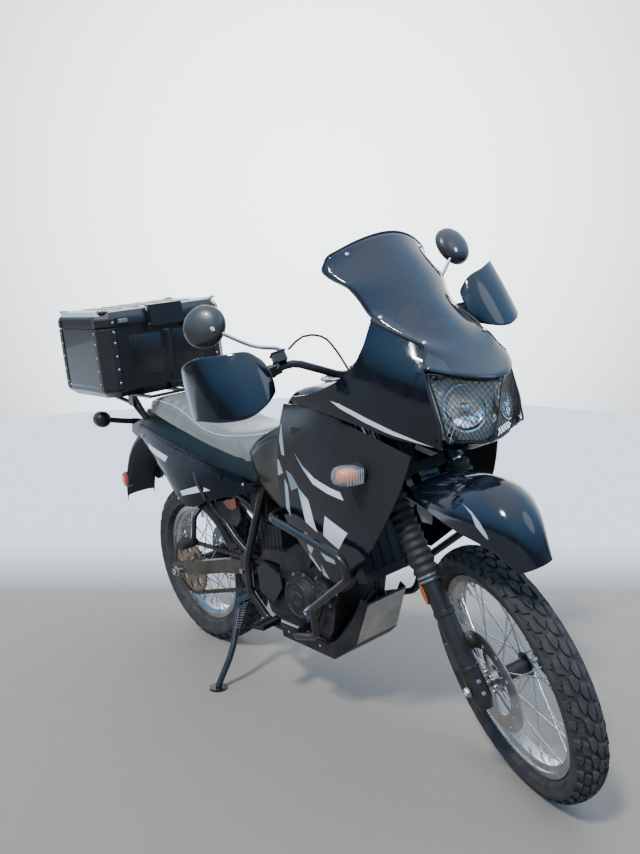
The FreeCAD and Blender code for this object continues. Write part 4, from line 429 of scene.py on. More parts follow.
# The case is black; its two patches are a painted highlight: pale bands on the lid's front and side top bevels.
finish(
    "case_black_painted_highlight", (0.012, 0.012, 0.013), 0.30, coat=0.25, grain=1400, bump=0.25, depth=0.0002, sheen=0.35,
    record="bare_aluminium", patch_place=BIKE, patches=[
        ([(-141, 1330), (-118, 1330), (-118, 1309), (-121, 1309)], (0.55, 0.57, 0.58), ANYWHERE),
        ([(-520, 1311), (-114, 1311), (-114, 1330), (-520, 1330)], (0.40, 0.42, 0.43), 251),
    ]
)
finish("valance_black", (0.006, 0.009, 0.009), 0.34, grain=500, bump=0.08, sheen=0.2, record="gloss_black")
finish("white_mark", WHITE, 0.25, coat=0.6, grain=300, bump=0.02, record="gloss_black")
finish("piping", (0.42, 0.43, 0.44), 0.5, grain=900, bump=0.2, record="seat_vinyl")
finish("flap_grey", (0.12, 0.105, 0.09), 0.55, grain=900, bump=0.3, record="black_plastic")
finish("dial_face", (0.85, 0.86, 0.88), 0.4, grain=500, bump=0.02, record="black_plastic")
finish("dial_blue", (0.16, 0.22, 0.36), 0.12, coat=1.0, grain=60, bump=0.02, record="black_plastic")
finish("hose", (0.010, 0.010, 0.010), 0.45, grain=1200, bump=0.25, record="black_rubber")

finish("cowl_paint", patch_place=BIKE, patches=stripes(
    WHITE,
    [(1066, 1077), (1101, 1072), (1099, 1060)],
    [(1101, 1072), (1177, 1046), (1175, 1031), (1099, 1060)],
    [(1177, 1046), (1246, 1021), (1244, 1007), (1175, 1031)],
    [(1246, 1021), (1307, 999), (1306, 990), (1244, 1007)],
    [(1307, 999), (1375, 972), (1306, 990)],
), **GLOSS)
KNEE_STRIPE = [(718, 856), (793, 877), (811, 839), (740, 808)]
finish("shroud_paint", patch_place=BIKE, patches=stripes(
    WHITE,
    KNEE_STRIPE,
    [(1009, 746), (1105, 715), (1051, 654), (991, 683)],
    [(877, 909), (913, 877), (912, 868)],
    [(913, 877), (967, 848), (960, 830), (912, 868)],
    [(967, 848), (1034, 832), (1023, 814), (960, 830)],
    [(1034, 832), (1081, 826), (1095, 805), (1023, 814)],
    [(817, 993), (822, 939), (826, 894), (811, 894), (803, 936)],
) + stripes(
    SILVER,
    [(827, 850), (854, 842), (886, 807), (846, 791)],
) + stripes(
    WHITE,
    [(882, 808), (932, 777), (963, 686), (907, 706)],
    [(815, 823), (830, 800), (826, 706), (806, 727)],
    [(892, 672), (944, 655), (900, 602), (888, 612)],
    [(942, 655), (1012, 627), (1013, 596), (970, 598), (948, 630)],
    [(888, 603), (930, 552), (912, 549), (878, 582)],
) + stripes(
    SILVER,
    [(939, 580), (965, 528), (932, 531)],
), matte=[
    # Forward of the shroud's diagonal edge, matt black: partly the shroud's black inner, partly painted shade of the
    # dark gap behind it.
    ([(1034, 958), (1060, 915), (1106, 872), (1420, 872), (1420, 1010), (1110, 1010)], 150),
    ([(1106, 872), (1201, 711), (1420, 711), (1420, 872)], 150),
    ([(1201, 711), (1190, 640), (1420, 600), (1420, 711)], 150),
], **GLOSS)
finish("cover_paint", patch_place=BIKE, patches=stripes(
    WHITE,
    [(-90, 815), (75, 789), (52, 766), (-105, 791)],
    [(-93, 776), (-24, 748), (-36, 730), (-110, 756)],
    [(136, 668), (288, 714), (303, 694), (146, 652)],
    [(318, 712), (356, 707), (309, 694)],
), **COVER)
finish("fender_paint", patch_place=FORK, patches=[
    ([(372, 838), (408, 829), (455, 775), (432, 772)], SILVER, 72),
    ([(432, 772), (455, 775), (474, 700), (452, 706)], SILVER, 72),
], **GLOSS)
finish(
    "knee_paint", (0.040, 0.037, 0.031), 0.25, grain=900, bump=0.04, vary=0.3, record="black_plastic",
    patch_place=BIKE, patches=stripes(WHITE, KNEE_STRIPE)
)
finish("swingarm_metal", (0.115, 0.10, 0.085), 0.45, metal=0.8, grain=500, bump=0.15, dust=0.5, record="bare_aluminium")
finish("rear_sprocket_metal", (0.30, 0.23, 0.15), 0.4, metal=0.9, grain=500, bump=0.15, dust=0.4, record="dark_steel")
# The patch paints the screen's lower zone lighter and bluer: a painted reflection on its glossy face.
finish(
    "screen_glass_painted_reflection", (0.004, 0.008, 0.020), 0.05, coat=0.3, grain=20, bump=0.01, alpha=0.95, record="smoke_screen",
    patch_place=BIKE, patches=[(
        [(1200, 1325), (1290, 1262), (1372, 1190), (1500, 1100), (1300, 1100), (1180, 1285)], (0.018, 0.03, 0.045),
        ANYWHERE,
    )]
)

NODE_FINISH = {
    "tyre_rubber": ["front_tyre", "rear_tyre"],
    "rim_metal": ["front_rim", "rear_rim"],
    "spoke_metal": ["front_spokes", "rear_spokes"],
    "black_metal": ["front_hub", "rear_hub", "fork_sliders", "front_caliper", "rear_caliper", "skid_plate"],
    "satin_black_metal": [
        "handlebar", "triple_clamps", "main_frame", "subframe", "crash_bars", "side_stand", "luggage_rack",
        "headlight_guard", "foot_pegs", "exhaust",
    ],
    "steel": ["front_disc", "rear_disc", "swingarm_bolt", "front_axle", "rear_axle", "foot_levers"],
    "dark_steel": ["drive_chain", "engine_sprocket"],
    "swingarm_metal": ["swingarm"],
    "rear_sprocket_metal": ["rear_sprocket"],
    "fork_chrome": ["fork_tubes"],
    "black_rubber": ["fork_gaiters", "grips", "control_cables"],
    "black_plastic": ["hand_controls", "radiator", "rear_shock", "sprocket_cover", "rear_fender", "instruments"],
    "gloss_black": ["hand_guards", "fuel_tank"],
    "cowl_paint": ["cowl"],
    "shroud_paint": ["shrouds"],
    "cover_paint": ["side_covers"],
    "fender_paint": ["front_fender"],
    "engine_metal": ["engine", "cylinder_head"],
    "case_black_painted_highlight": ["case_base", "case_lid"],
    "seat_vinyl": ["seat"],
    "smoke_screen": ["windscreen"],
    "mirror_shell": ["mirrors"],
    "lamp_lens": ["headlight"],
    "tail_housing": ["tail_lamp"],
    "clear_lens": ["turn_signals"],
    "bare_aluminium": ["fuel_cap"],
}


def shading_group():
    """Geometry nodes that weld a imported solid's facets and shade its gentle edges smooth."""
    group = bpy.data.node_groups.new("even_shading", "GeometryNodeTree")
    group.interface.new_socket("Geometry", in_out="INPUT", socket_type="NodeSocketGeometry")
    group.interface.new_socket("Geometry", in_out="OUTPUT", socket_type="NodeSocketGeometry")
    start = group.nodes.new("NodeGroupInput")
    end = group.nodes.new("NodeGroupOutput")
    weld = group.nodes.new("GeometryNodeMergeByDistance")
    weld.inputs["Distance"].default_value = 0.00001
    bare = group.nodes.new("GeometryNodeRemoveAttribute")
    bare.inputs["Name"].default_value = "custom_normal"
    faces = group.nodes.new("GeometryNodeSetShadeSmooth")
    edges = group.nodes.new("GeometryNodeSetShadeSmooth")
    edges.domain = "EDGE"
    angle = group.nodes.new("GeometryNodeInputMeshEdgeAngle")
    gentle = group.nodes.new("FunctionNodeCompare")
    gentle.operation = "LESS_THAN"
    gentle.inputs[1].default_value = math.radians(34)
    link = group.links.new
    link(start.outputs[0], bare.inputs["Geometry"])
    link(bare.outputs[0], weld.inputs["Geometry"])
    link(weld.outputs[0], faces.inputs["Geometry"])
    link(faces.outputs[0], edges.inputs["Geometry"])
    link(angle.outputs["Unsigned Angle"], gentle.inputs[0])
    link(gentle.outputs[0], edges.inputs["Shade Smooth"])
    link(edges.outputs[0], end.inputs[0])
    return group


def dress_nodes():
    group = shading_group()
    for slot, names in NODE_FINISH.items():
        for name in names:
            item = frame["nodes"][name]
            for place in item.material_slots:
                place.material = FINISH[slot]
            if not item.material_slots:
                item.data.materials.append(FINISH[slot])
            item.modifiers.new("even_shading", "NODES").node_group = group


# Wheels
TYRES = {
    "front": dict(radius=349, rim=279, half=46, bead=23, count=42, place=FRONT_WHEEL, body="front_wheel"),
    "rear": dict(radius=320, rim=229, half=65, bead=36, count=38, place=REAR_WHEEL, body="rear_wheel"),
}
BEAD_DEPTH = 12
LUG = 7.5


def tyre_curve(t):
    """The tyre's outer profile over the tread, as evenly spaced (y, radius) with arc length."""
    depth = t["radius"] - t["rim"]
    half = t["half"]
    side = [(-0.93 * half, 0.36), (-half, 0.58), (-0.84 * half, 0.82), (-0.45 * half, 0.96), (0, 1.0)]
    points = [(y, t["rim"] + share * depth) for y, share in side]
    points += [(-y, r) for y, r in reversed(points[:-1])]
    return smooth([(y, r, 0) for y, r in points], 6)


def on_tread(curve, share, depth):
    """A point of the tread: share runs from one shoulder, -1, to the other, 1."""
    place = (share * 0.5 + 0.5) * (len(curve) - 1)
    i = min(int(place), len(curve) - 2)
    at = curve[i].lerp(curve[i + 1], place - i)
    way = (curve[i + 1] - curve[i]).normalized()
    normal = Vector((-way.y, way.x, 0))
    if normal.y < 0:
        normal = -normal
    return at - normal * depth


def wheel_point(y, radius, angle):
    return Vector((radius * math.cos(angle), y, radius * math.sin(angle)))


def build_tyre(label, t):
    """Carcass with moulded sidewall ribs, and the lugs of a dual-purpose tread."""
    curve = tyre_curve(t)
    body = Shape()
    outline = [(-t["bead"], t["rim"] - BEAD_DEPTH + 1), (-t["bead"], t["rim"] + 2)]
    tread = []
    for k in range(33):
        share = -1 + 2 * k / 32
        depth = LUG if abs(share) < 0.66 else 0.4
        at = on_tread(curve, share, depth)
        tread.append((at.x, at.y))
    rib = [(-0.86 * t["half"], t["rim"] + 12), (-0.885 * t["half"], t["rim"] + 14), (-0.88 * t["half"], t["rim"] + 18)]
    outline += rib + tread + [(-y, r) for y, r in reversed(rib)]
    outline += [(t["bead"], t["rim"] + 2), (t["bead"], t["rim"] - BEAD_DEPTH + 1)]
    steps = 120
    rings = [[wheel_point(y, r, 2 * math.pi * k / steps) for y, r in outline] for k in range(steps)]
    body.rings(rings, loop=True)
    lugs = (
        ((0.02, -0.20), (0.13, -0.40), (0.20, -0.02), (0.20, 0.38), (0.06, 0.42), (-0.02, 0.18)),
        ((0.25, -0.48), (0.43, -0.30), (0.44, 0.02), (0.38, 0.34), (0.24, 0.20), (0.26, -0.16)),
        ((0.49, -0.06), (0.71, 0.06), (0.71, 0.44), (0.47, 0.40), (0.44, 0.20), (0.49, 0.14)),
    )
    for k in range(t["count"]):
        for sign, shift in ((1, 0.0), (-1, 0.5)):
            for corners in lugs:
                middle = Vector((sum(c[0] for c in corners), sum(c[1] for c in corners))) / len(corners)
                rings = []
                for depth, grow in ((LUG + 0.5, 1.06), (1.1, 1.0), (0.0, 0.88)):
                    ring = []
                    for s, u in corners:
                        at = on_tread(curve, sign * (middle.x + (s - middle.x) * grow), depth)
                        angle = 2 * math.pi * (k + shift + middle.y + (u - middle.y) * grow) / t["count"]
                        ring.append(wheel_point(at.x, at.y, angle))
                    rings.append(ring)
                body.rings(rings)
    tyre = piece(f"{label}_tyre_tread", body, t["place"], t["body"], "tyre_rubber", angle=32)
    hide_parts(f"{label}_tyre")


def build_wheel_parts():
    """Tyres, spoke nipples, valves, the discs' bolts and the axles' nuts."""
    for label, t in TYRES.items():
        build_tyre(label, t)
        nipples = Shape()
        tip = t["rim"] - 28
        root = 31 if label == "front" else 49
        flange = 47 if label == "front" else 57
        for k in range(18):
            side = 1 if k % 2 else -1
            for way in (1, -1):
                foot = math.radians(k * 20)
                head = foot + way * math.radians(45)
                start = wheel_point(side * flange + way, root, foot)
                end = wheel_point(side * 3, tip, head)
                ahead = (end - start).normalized()
                nipples.lathe([(2.2, -16), (3.1, -14), (3.1, -3), (3.8, -1), (3.8, 1)], stand_on(end, ahead), 8)
        inward = -wheel_point(0, 1, math.radians(100))
        valve = stand_on(-inward * (t["rim"] - 26), inward)
        nipples.lathe([(6, -2), (6, 2), (4, 4), (4, 26), (4.6, 27), (4.6, 34), (3, 35)], valve, 12)
        piece(f"{label}_nipples", nipples, t["place"], t["body"], "spoke_metal")
        bolts = Shape()
        sign, side, reach = (-1, 66.5, 27) if label == "front" else (1, 86.5, 36)
        for k in range(6):
            bolts.bolt(wheel_point(sign * side, reach, math.radians(30 + 60 * k)), (0, sign, 0), 4.5, 5)
        if label == "rear":
            for k in range(6):
                bolts.bolt(wheel_point(-98.8, 40, math.radians(60 * k)), (0, -1, 0), 5, 6)
        piece(f"{label}_disc_bolts", bolts, t["place"], t["body"], "steel", bevel=0.3)
    nuts = Shape()
    for sign in (1, -1):
        turn = stand_on((0, sign * 161, REAR_RADIUS), (0, sign, 0))
        nuts.lathe([(19, 0), (19, 2), (14, 3)], turn, 20)
        nuts.lathe([(14, 2), (14, 13), (12, 15), (8, 15), (7, 11)], turn, 6)
    piece("rear_axle_nuts", nuts, BIKE, "chassis", "steel", bevel=0.5)
    nuts = Shape()
    for sign in (1, -1):
        turn = stand_on((FORK_OFFSET, sign * 132, FRONT_LEVEL), (0, sign, 0))
        nuts.lathe([(15, 0), (15, 2), (12.5, 3)], turn, 20)
        nuts.lathe([(12.5, 2), (12.5, 9), (11, 11), (7, 11), (6.5, 8)], turn, 6)
        for lift in (-16, 16):
            nuts.bolt((FORK_OFFSET + 26.5, sign * 105, FRONT_LEVEL + lift), (1, 0, 0), 4, 5)
    piece("front_axle_nuts", nuts, FORK, "fork", "steel", bevel=0.4)


def build_chain():
    """Every link of the chain, alternately wide and narrow, round both sprockets."""
    pitch = 15.875
    rear_teeth = 42
    engine_teeth = 15
    back = Vector((0, 0, REAR_RADIUS))
    front = Vector((545, 0, 410))
    big = pitch / (2 * math.sin(math.pi / rear_teeth))
    small = pitch / (2 * math.sin(math.pi / engine_teeth))
    way = front - back
    base = math.atan2(way.z, way.x)
    spread_angle = math.acos((big - small) / way.length)
    run = math.sqrt(way.length ** 2 - (big - small) ** 2)
    nose = small * 2 * spread_angle
    whole = 2 * run + nose + big * (2 * math.pi - 2 * spread_angle)
    count = 2 * round(whole / pitch / 2)

    def at_length(s):
        """The chain's point at a length from where it leaves the rear sprocket's top."""
        s %= whole
        angle = base + spread_angle
        if s < run:
            start = back + wheel_point(0, big, angle)
            return start.lerp(front + wheel_point(0, small, angle), s / run)
        s -= run
        if s < nose:
            return front + wheel_point(0, small, angle - s / small)
        s -= nose
        angle = base - spread_angle
        if s < run:
            start = front + wheel_point(0, small, angle)
            return start.lerp(back + wheel_point(0, big, angle), s / run)
        return back + wheel_point(0, big, angle - (s - run) / big)

    chain = Shape()
    side = -95
    for k in range(count):
        here = at_length(k * whole / count)
        ahead = (at_length((k + 1) * whole / count) - here).normalized()
        up = Vector((-ahead.z, 0, ahead.x))
        gap = 5.9 if k % 2 else 4.3
        outline = [(-6, 3), (-4, 6), (0, 7.2), (4, 5.4), (8, 4.6), (12, 5.4), (16, 7.2), (20, 6), (22, 3)]
        outline += [(x, -z) for x, z in reversed(outline)]
        for sign in (1, -1):
            rings = []
            for y in (side + sign * gap, side + sign * (gap + 1.5)):
                rings.append([here + ahead * x + up * z + Vector((0, y, 0)) for x, z in outline])
            chain.rings(rings)
        pin = stand_on(here + Vector((0, side, 0)), (0, 1, 0))
        chain.lathe([(4.9, -4.2), (4.9, 4.2)], pin, 10)
        chain.lathe([(2.4, -8.0), (2.6, -7.4), (2.6, 7.4), (2.4, 8.0)], pin, 8)
    links = piece("chain_links", chain, BIKE, "chassis", "dark_steel")
    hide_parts("drive_chain")


# Seat, with the cover's sizes in metres
SEAT_VOXEL = 0.006
SEAT_INSET = 0.003
SEAT_SWELL = 0.009
SEAT_FRAMES = 20
SEAT_EDGE = (
    (655, 78, 944), (620, 82, 932), (560, 98, 914), (500, 110, 903), (400, 124, 890), (300, 130, 898), (220, 128, 920),
    (160, 126, 944), (100, 122, 962), (40, 118, 972), (-30, 110, 974), (-90, 100, 970), (-140, 88, 962),
)


def build_seat():
    """The seat's foam and cover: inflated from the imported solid, then piped along its upper edge."""
    mesh = frame["nodes"]["seat"].data.copy()
    work = bmesh.new()
    work.from_mesh(mesh)
    bmesh.ops.remove_doubles(work, verts=work.verts, dist=0.00001)
    bmesh.ops.recalc_face_normals(work, faces=work.faces)
    work.to_mesh(mesh)
    work.free()
    item = bpy.data.objects.new("seat_cover", mesh)
    bpy.context.scene.collection.objects.link(item)
    bpy.context.view_layer.objects.active = item
    item.select_set(True)
    shrink = item.modifiers.new("even", "REMESH")
    shrink.mode = "VOXEL"
    shrink.voxel_size = SEAT_VOXEL
    bpy.ops.object.modifier_apply(modifier="even")
    for vertex in item.data.vertices:
        vertex.co -= vertex.normal * SEAT_INSET
    start = [v.co.copy() for v in item.data.vertices]
    cloth = item.modifiers.new("pad", "CLOTH")
    cloth.settings.use_pressure = True
    cloth.settings.uniform_pressure_force = 4
    cloth.settings.effector_weights.gravity = 0
    cloth.settings.tension_stiffness = 30
    cloth.settings.mass = 0.3
    scene = bpy.context.scene
    for number in range(1, SEAT_FRAMES + 1):
        scene.frame_set(number)
    view = bpy.context.evaluated_depsgraph_get()
    puffed = [v.co.copy() for v in item.evaluated_get(view).data.vertices]
    item.modifiers.remove(cloth)
    scene.frame_set(1)
    for vertex, old, new in zip(item.data.vertices, start, puffed):
        move = new - old
        if move.length > SEAT_SWELL:
            move = move.normalized() * SEAT_SWELL
        vertex.co = old + move
    soften = item.modifiers.new("soften", "SMOOTH")
    soften.iterations = 4
    bpy.ops.object.modifier_apply(modifier="soften")
    fine = item.modifiers.new("fine", "SUBSURF")
    fine.levels = fine.render_levels = 1
    bpy.ops.object.modifier_apply(modifier="fine")
    bpy.context.scene.collection.objects.unlink(item)
    dress(item, "chassis", "seat_vinyl", angle=80)
    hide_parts("seat")
    skin = BVHTree.FromPolygons([v.co for v in item.data.vertices], [p.vertices for p in item.data.polygons])
    welt = Shape()
    for sign in (1, -1):
        route = []
        for point in smooth(sided(SEAT_EDGE, sign), 5):
            near, normal = skin.find_nearest(BIKE @ point)[:2]
            route.append(BIKE.inverted() @ (near + normal * 0.0012))
        welt.tube(route, 2.6, 8)
    piece("seat_piping", welt, BIKE, "chassis", "piping")


# Luggage case
CASE_FRONT = -122
CASE_BACK = CASE_FRONT - 390
CASE_HALF = 270
CASE_LOW = 1002
CASE_SPLIT = 1265
CASE_TOP = 1327
CORNER = 38


def corner_plan(grow, sign_x, sign_y, reach):
    """Plan of a corner wrap: along one side, across the cut corner and along the other side."""
    x = CASE_FRONT + grow if sign_x > 0 else CASE_BACK - grow
    y = sign_y * (CASE_HALF + grow)
    cut = CORNER + 0.4 * grow
    return [
        (x, y - sign_y * (cut + reach)), (x, y - sign_y * cut), (x - sign_x * cut, y), (x - sign_x * (cut + reach), y),
    ]


def case_outline(grow):
    front, back, half = CASE_FRONT + grow, CASE_BACK - grow, CASE_HALF + grow
    return [
        (front, -half + CORNER), (front, half - CORNER), (front - CORNER, half), (back + CORNER, half),
        (back, half - CORNER), (back, -half + CORNER), (back + CORNER, -half), (front - CORNER, -half),
    ]


def build_case():
    """Corner wraps, rivets, the rim, pressings in the front, latches, tie-downs and the lid's ribs."""
    posts = Shape()
    caps = Shape()
    rivets = Shape()
    hooks = Shape()
    proud = 2.6
    for sign_x, front in ((1, CASE_FRONT), (-1, CASE_BACK)):
        for sign_y in (1, -1):
            for low, high, target in ((CASE_LOW + 30, CASE_SPLIT - 2, posts), (CASE_SPLIT + 3, CASE_TOP - 27, caps)):
                rings = []
                levels = ((low, 0.2), (low + 3, proud), (high - 3, proud), (high, 0.2), (high, -1), (low, -1))
                for z, grow in levels:
                    rings.append([(x, y, z) for x, y in corner_plan(grow, sign_x, sign_y, 22)])
                target.rings(rings, loop=True, open_ring=True)
            across = sign_y * (CASE_HALF - CORNER - 14)
            for z in (1058, 1108, 1158, 1208, 1248):
                rivets.stud((front + sign_x * proud, across, z), (sign_x, 0, 0), 4.4)
                at = (front - sign_x * (CORNER + 14), sign_y * (CASE_HALF + proud), z)
                rivets.stud(at, (0, sign_y, 0), 4.4)
            rivets.stud((front + sign_x * proud, across, 1284), (sign_x, 0, 0), 4.4)
            top = Vector((front - sign_x * 22, sign_y * (CASE_HALF - 22), CASE_TOP))
            ends = (Vector((0, -38 * sign_y, -5)), Vector((0, 0, 2)), Vector((-38 * sign_x, 0, -5)))
            hooks.tube([top + end for end in ends], 5.5, 10)
    for k in range(11):
        for sign in (1, -1):
            rivets.stud((CASE_FRONT - 62 - k * 26.6, sign * CASE_HALF, CASE_LOW + 42), (0, sign, 0), 3.6)
    piece("case_posts", posts, BIKE, "chassis", "black_plastic", bevel=0.8)
    piece("case_rivets", rivets, BIKE, "chassis", "spoke_metal")
    piece("lid_corners", caps, BIKE, "lid", "black_plastic", bevel=0.8)
    rim = Shape()
    low, high = CASE_SPLIT - 9, CASE_SPLIT - 2
    rings = [(-0.5, low), (1.4, low), (1.4, high), (-0.5, high)]
    for one, two in zip(rings, rings[1:]):
        rim.rings([[(x, y, z) for x, y in case_outline(grow)] for grow, z in (one, two)], caps=False)
    piece("case_rim", rim, BIKE, "chassis", "case_black_painted_highlight")
    panel = Shape()
    square = ((-1, -1), (1, -1), (1, 1), (-1, 1))
    for y, z, low, high, lift in (
        (92, 1150, (66, 78), (60, 72), 2.4), (-92, 1150, (66, 78), (60, 72), 2.4), (0, 1140, (18, 96), (13, 90), 3.4),
    ):
        panel.rings([
            [(CASE_FRONT + out, y + a * half[0], z + b * half[1]) for a, b in square]
            for out, half in ((0.1, low), (lift, high))
        ])
    piece("case_pressings", panel, BIKE, "chassis", "case_black_painted_highlight", bevel=0.8)
    latch = Shape()
    tongue = Shape()
    for y in (178, -178):
        latch.box((CASE_FRONT, y - 26, 1276), (CASE_FRONT + 7, y + 26, 1300))
        tongue.box((CASE_FRONT + 7, y - 19, 1281), (CASE_FRONT + 10, y + 19, 1294))
    piece("lid_latches", latch, BIKE, "lid", "black_plastic", bevel=1.5)
    piece("lid_tongues", tongue, BIKE, "lid", "spoke_metal", bevel=0.8)
    piece("lid_tie_downs", hooks, BIKE, "lid", "bare_aluminium")
    ribs = Shape()
    for y in (-150, -75, 0, 75, 150):
        ribs.rings([
            rectangle(CASE_BACK + 46, CASE_FRONT - 62, y - 16, y + 16, CASE_TOP - 0.5),
            rectangle(CASE_BACK + 52, CASE_FRONT - 68, y - 11, y + 11, CASE_TOP + 2.5),
        ])
    piece("lid_ribs", ribs, BIKE, "lid", "case_black_painted_highlight", bevel=1.0)


# Lamps, mirrors, dials
def build_lamps():
    """Front signals of clear glass over an orange bulb, bullet signals at the rear and the tail lamp's lens."""
    signals = Shape()
    bulbs = Shape()
    arms = Shape()
    glass = Shape()
    outline = [(math.copysign(abs(a) ** 0.7, a), math.copysign(abs(b) ** 0.7, b)) for a, b in circle(1, 28)]
    stations = ((-44, 0.30), (-42, 0.62), (-34, 0.86), (-16, 1.0), (12, 1.0), (30, 0.84), (38, 0.66), (41, 0.40))
    for sign in (1, -1):
        turn = Matrix.Translation((1168, sign * 262, 896)) @ Matrix.Rotation(math.radians(8 * sign), 4, "X")
        for holder, share, length in ((signals, 1.0, 1.0), (bulbs, 0.66, 0.72)):
            rings = []
            for y, grow in stations:
                wide, high = 33 * share * grow, 28 * share * grow
                rings.append([(wide * a, -sign * y * length, high * b) for a, b in outline])
            holder.rings(rings, turn)
        for k in range(-3, 4):
            front, y = 31 - 0.5 * k ** 2, -sign * 9 * k
            signals.box((front, y - 0.8, -20), (front + 3.4, y + 0.8, 20), turn)
        arms.lathe([(20, 0), (27, 3), (27, 10), (22, 13)], stand_on((1164, sign * 214, 896), (0, sign, 0)), 24)
        arms.lathe([(9.5, 0), (9.5, 44), (14, 48)], stand_on((1166, sign * 180, 896), (0, sign, 0)), 16)
    for sign in (1, -1):
        turn = stand_on((-440, sign * 176, 884), (1, 0, 0))
        shell = [(24, -6), (31, 0), (33, 10), (33, 30), (30, 42), (22, 50), (10, 54), (0.1, 55)]
        arms.lathe(shell, turn, 28)
        glass.lathe([(29.5, 4), (30, 0), (26, -7), (14, -11), (0.1, -12.5)], turn, 28)
        arms.tube(sided([(-392, 44, 851), (-405, 108, 866), (-420, 160, 880)], sign), 11, 14)
    lens = piece("front_signal_lenses", signals, BIKE, "chassis", "clear_lens", angle=60)
    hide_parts("turn_signals")
    piece("front_signal_bulbs", bulbs, BIKE, "chassis", "orange_lens", angle=60)
    piece("signal_arms", arms, BIKE, "chassis", "black_plastic")
    piece("rear_signal_lenses", glass, BIKE, "chassis", "orange_lens", angle=60)
    tail = Shape()
    tail.rings([
        [(-404, -48, 864), (-404, 48, 864), (-419, 48, 808), (-419, -48, 808)],
        [(-412, -42, 856), (-412, 42, 856), (-424, 42, 814), (-424, -42, 814)],
    ])
    piece("tail_lens", tail, BIKE, "chassis", "red_lens", bevel=3)


MIRROR_AT = Vector((35, -403, 1538))
MIRROR_HALF = (62, 60)
MIRROR_YAW = 26
MIRROR_TILT = 10


def build_mirrors():
    """Round mirror heads turned in towards the rider, on thin bent stems from the lever perches."""
    shells = Shape()
    glass = Shape()
    stems = Shape()
    for sign in (-1, 1):
        at = Vector((MIRROR_AT.x, -sign * MIRROR_AT.y, MIRROR_AT.z))
        turn = Matrix.Translation(at) @ Matrix.Rotation(math.radians(sign * MIRROR_YAW), 4, "Z")
        turn = turn @ Matrix.Rotation(math.radians(-sign * MIRROR_TILT), 4, "X")

        def oval(share, depth):
            return [(depth, share * MIRROR_HALF[0] * a, share * MIRROR_HALF[1] * b) for a, b in circle(1, 48)]

        profile = ((1.0, -12), (1.02, -8), (1.0, 0), (0.94, 8), (0.78, 16), (0.5, 21), (0.2, 23))
        shells.rings([oval(*station) for station in profile], turn)
        glass.rings([oval(0.96, -12.6), oval(0.93, -13.4)], turn)
        foot = Vector((25, sign * 225, 1366))
        low = turn @ Vector((10, -sign * 0.30 * MIRROR_HALF[0], -0.42 * MIRROR_HALF[1]))
        stems.tube([foot, foot + Vector((3, 0, 40)), Vector((40, sign * 300, MIRROR_AT.z - 98)), low], 5.6, 12)
        stems.lathe([(9, -4), (9, 14), (7, 18), (7, 26)], stand_on(foot, (0.05, 0, 1)), 6)
        stems.lathe([(10, -10), (12, 0), (9, 12)], stand_on(low, (0, 0, 1)), 16)
    shell = piece("mirror_shells", shells, FORK, "fork", "mirror_shell", angle=50)
    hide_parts("mirrors")
    piece("mirror_glass", glass, FORK, "fork", "mirror_glass")
    piece("mirror_stems", stems, FORK, "fork", "fork_chrome")


def build_dials():
    """Two dials with rims, ticks and needles on the rider's side of the pod."""
    face = Shape()
    rims = Shape()
    normal = Vector((-46, 0, 40)).normalized()
    for y, radius in ((-44, 34), (44, 34)):
        at = Vector((1183, y, 1213)) + normal * 0.5
        face.lathe([(radius - 4, 0), (radius - 4, 3)], stand_on(at, normal), 40)
        rims.lathe([(radius, 0), (radius, 8), (radius - 3, 9), (radius - 4, 3)], stand_on(at, normal), 40)
        for k in range(11):
            angle = math.radians(-210 + 24 * k)
            turn = stand_on(at + normal * 3, normal) @ Matrix.Rotation(angle, 4, "Z")
            rims.box((radius - 12, -0.7, 0), (radius - 6, 0.7, 0.8), turn)
        turn = stand_on(at + normal * 3, normal) @ Matrix.Rotation(math.radians(130), 4, "Z")
        needle = [(-6, -1.5), (radius - 9, -0.5), (radius - 9, 0.5), (-6, 1.5)]
        rims.prism(needle, 1.5, turn @ Matrix.Translation((0, 0, 1)))
    piece("dial_faces", face, BIKE, "chassis", "dial_face")
    piece("dial_rims", rims, BIKE, "chassis", "black_plastic")


# Screen, cowl and trim
SCREEN = (
    ((1474, 1127), (1368, 160, 1167)),
    ((1424, 1158), (1354, 142, 1192)),
    ((1380, 1192), (1342, 126, 1219)),
    ((1340, 1229), (1290, 134, 1242)),
    ((1306, 1268), (1232, 150, 1272)),
    ((1272, 1307), (1192, 160, 1300)),
    ((1240, 1345), (1166, 167, 1338)),
    ((1210, 1386), (1140, 181, 1374)),
    ((1180, 1428), (1102, 196, 1396)),
    ((1150, 1468), (1070, 200, 1422)),
    ((1122, 1505), (1074, 180, 1456)),
)


def screen_row(middle, edge):
    """A row of the screen from one edge over the middle, given as x and z, to the other edge."""
    steps = 14
    row = []
    for k in range(-steps, steps + 1):
        share = abs(k) / steps
        bend = share ** 1.9
        x = middle[0] + (edge[0] - middle[0]) * bend
        z = middle[1] + (edge[2] - middle[1]) * bend
        row.append(Vector((x, edge[1] * k / steps, z)))
    return row


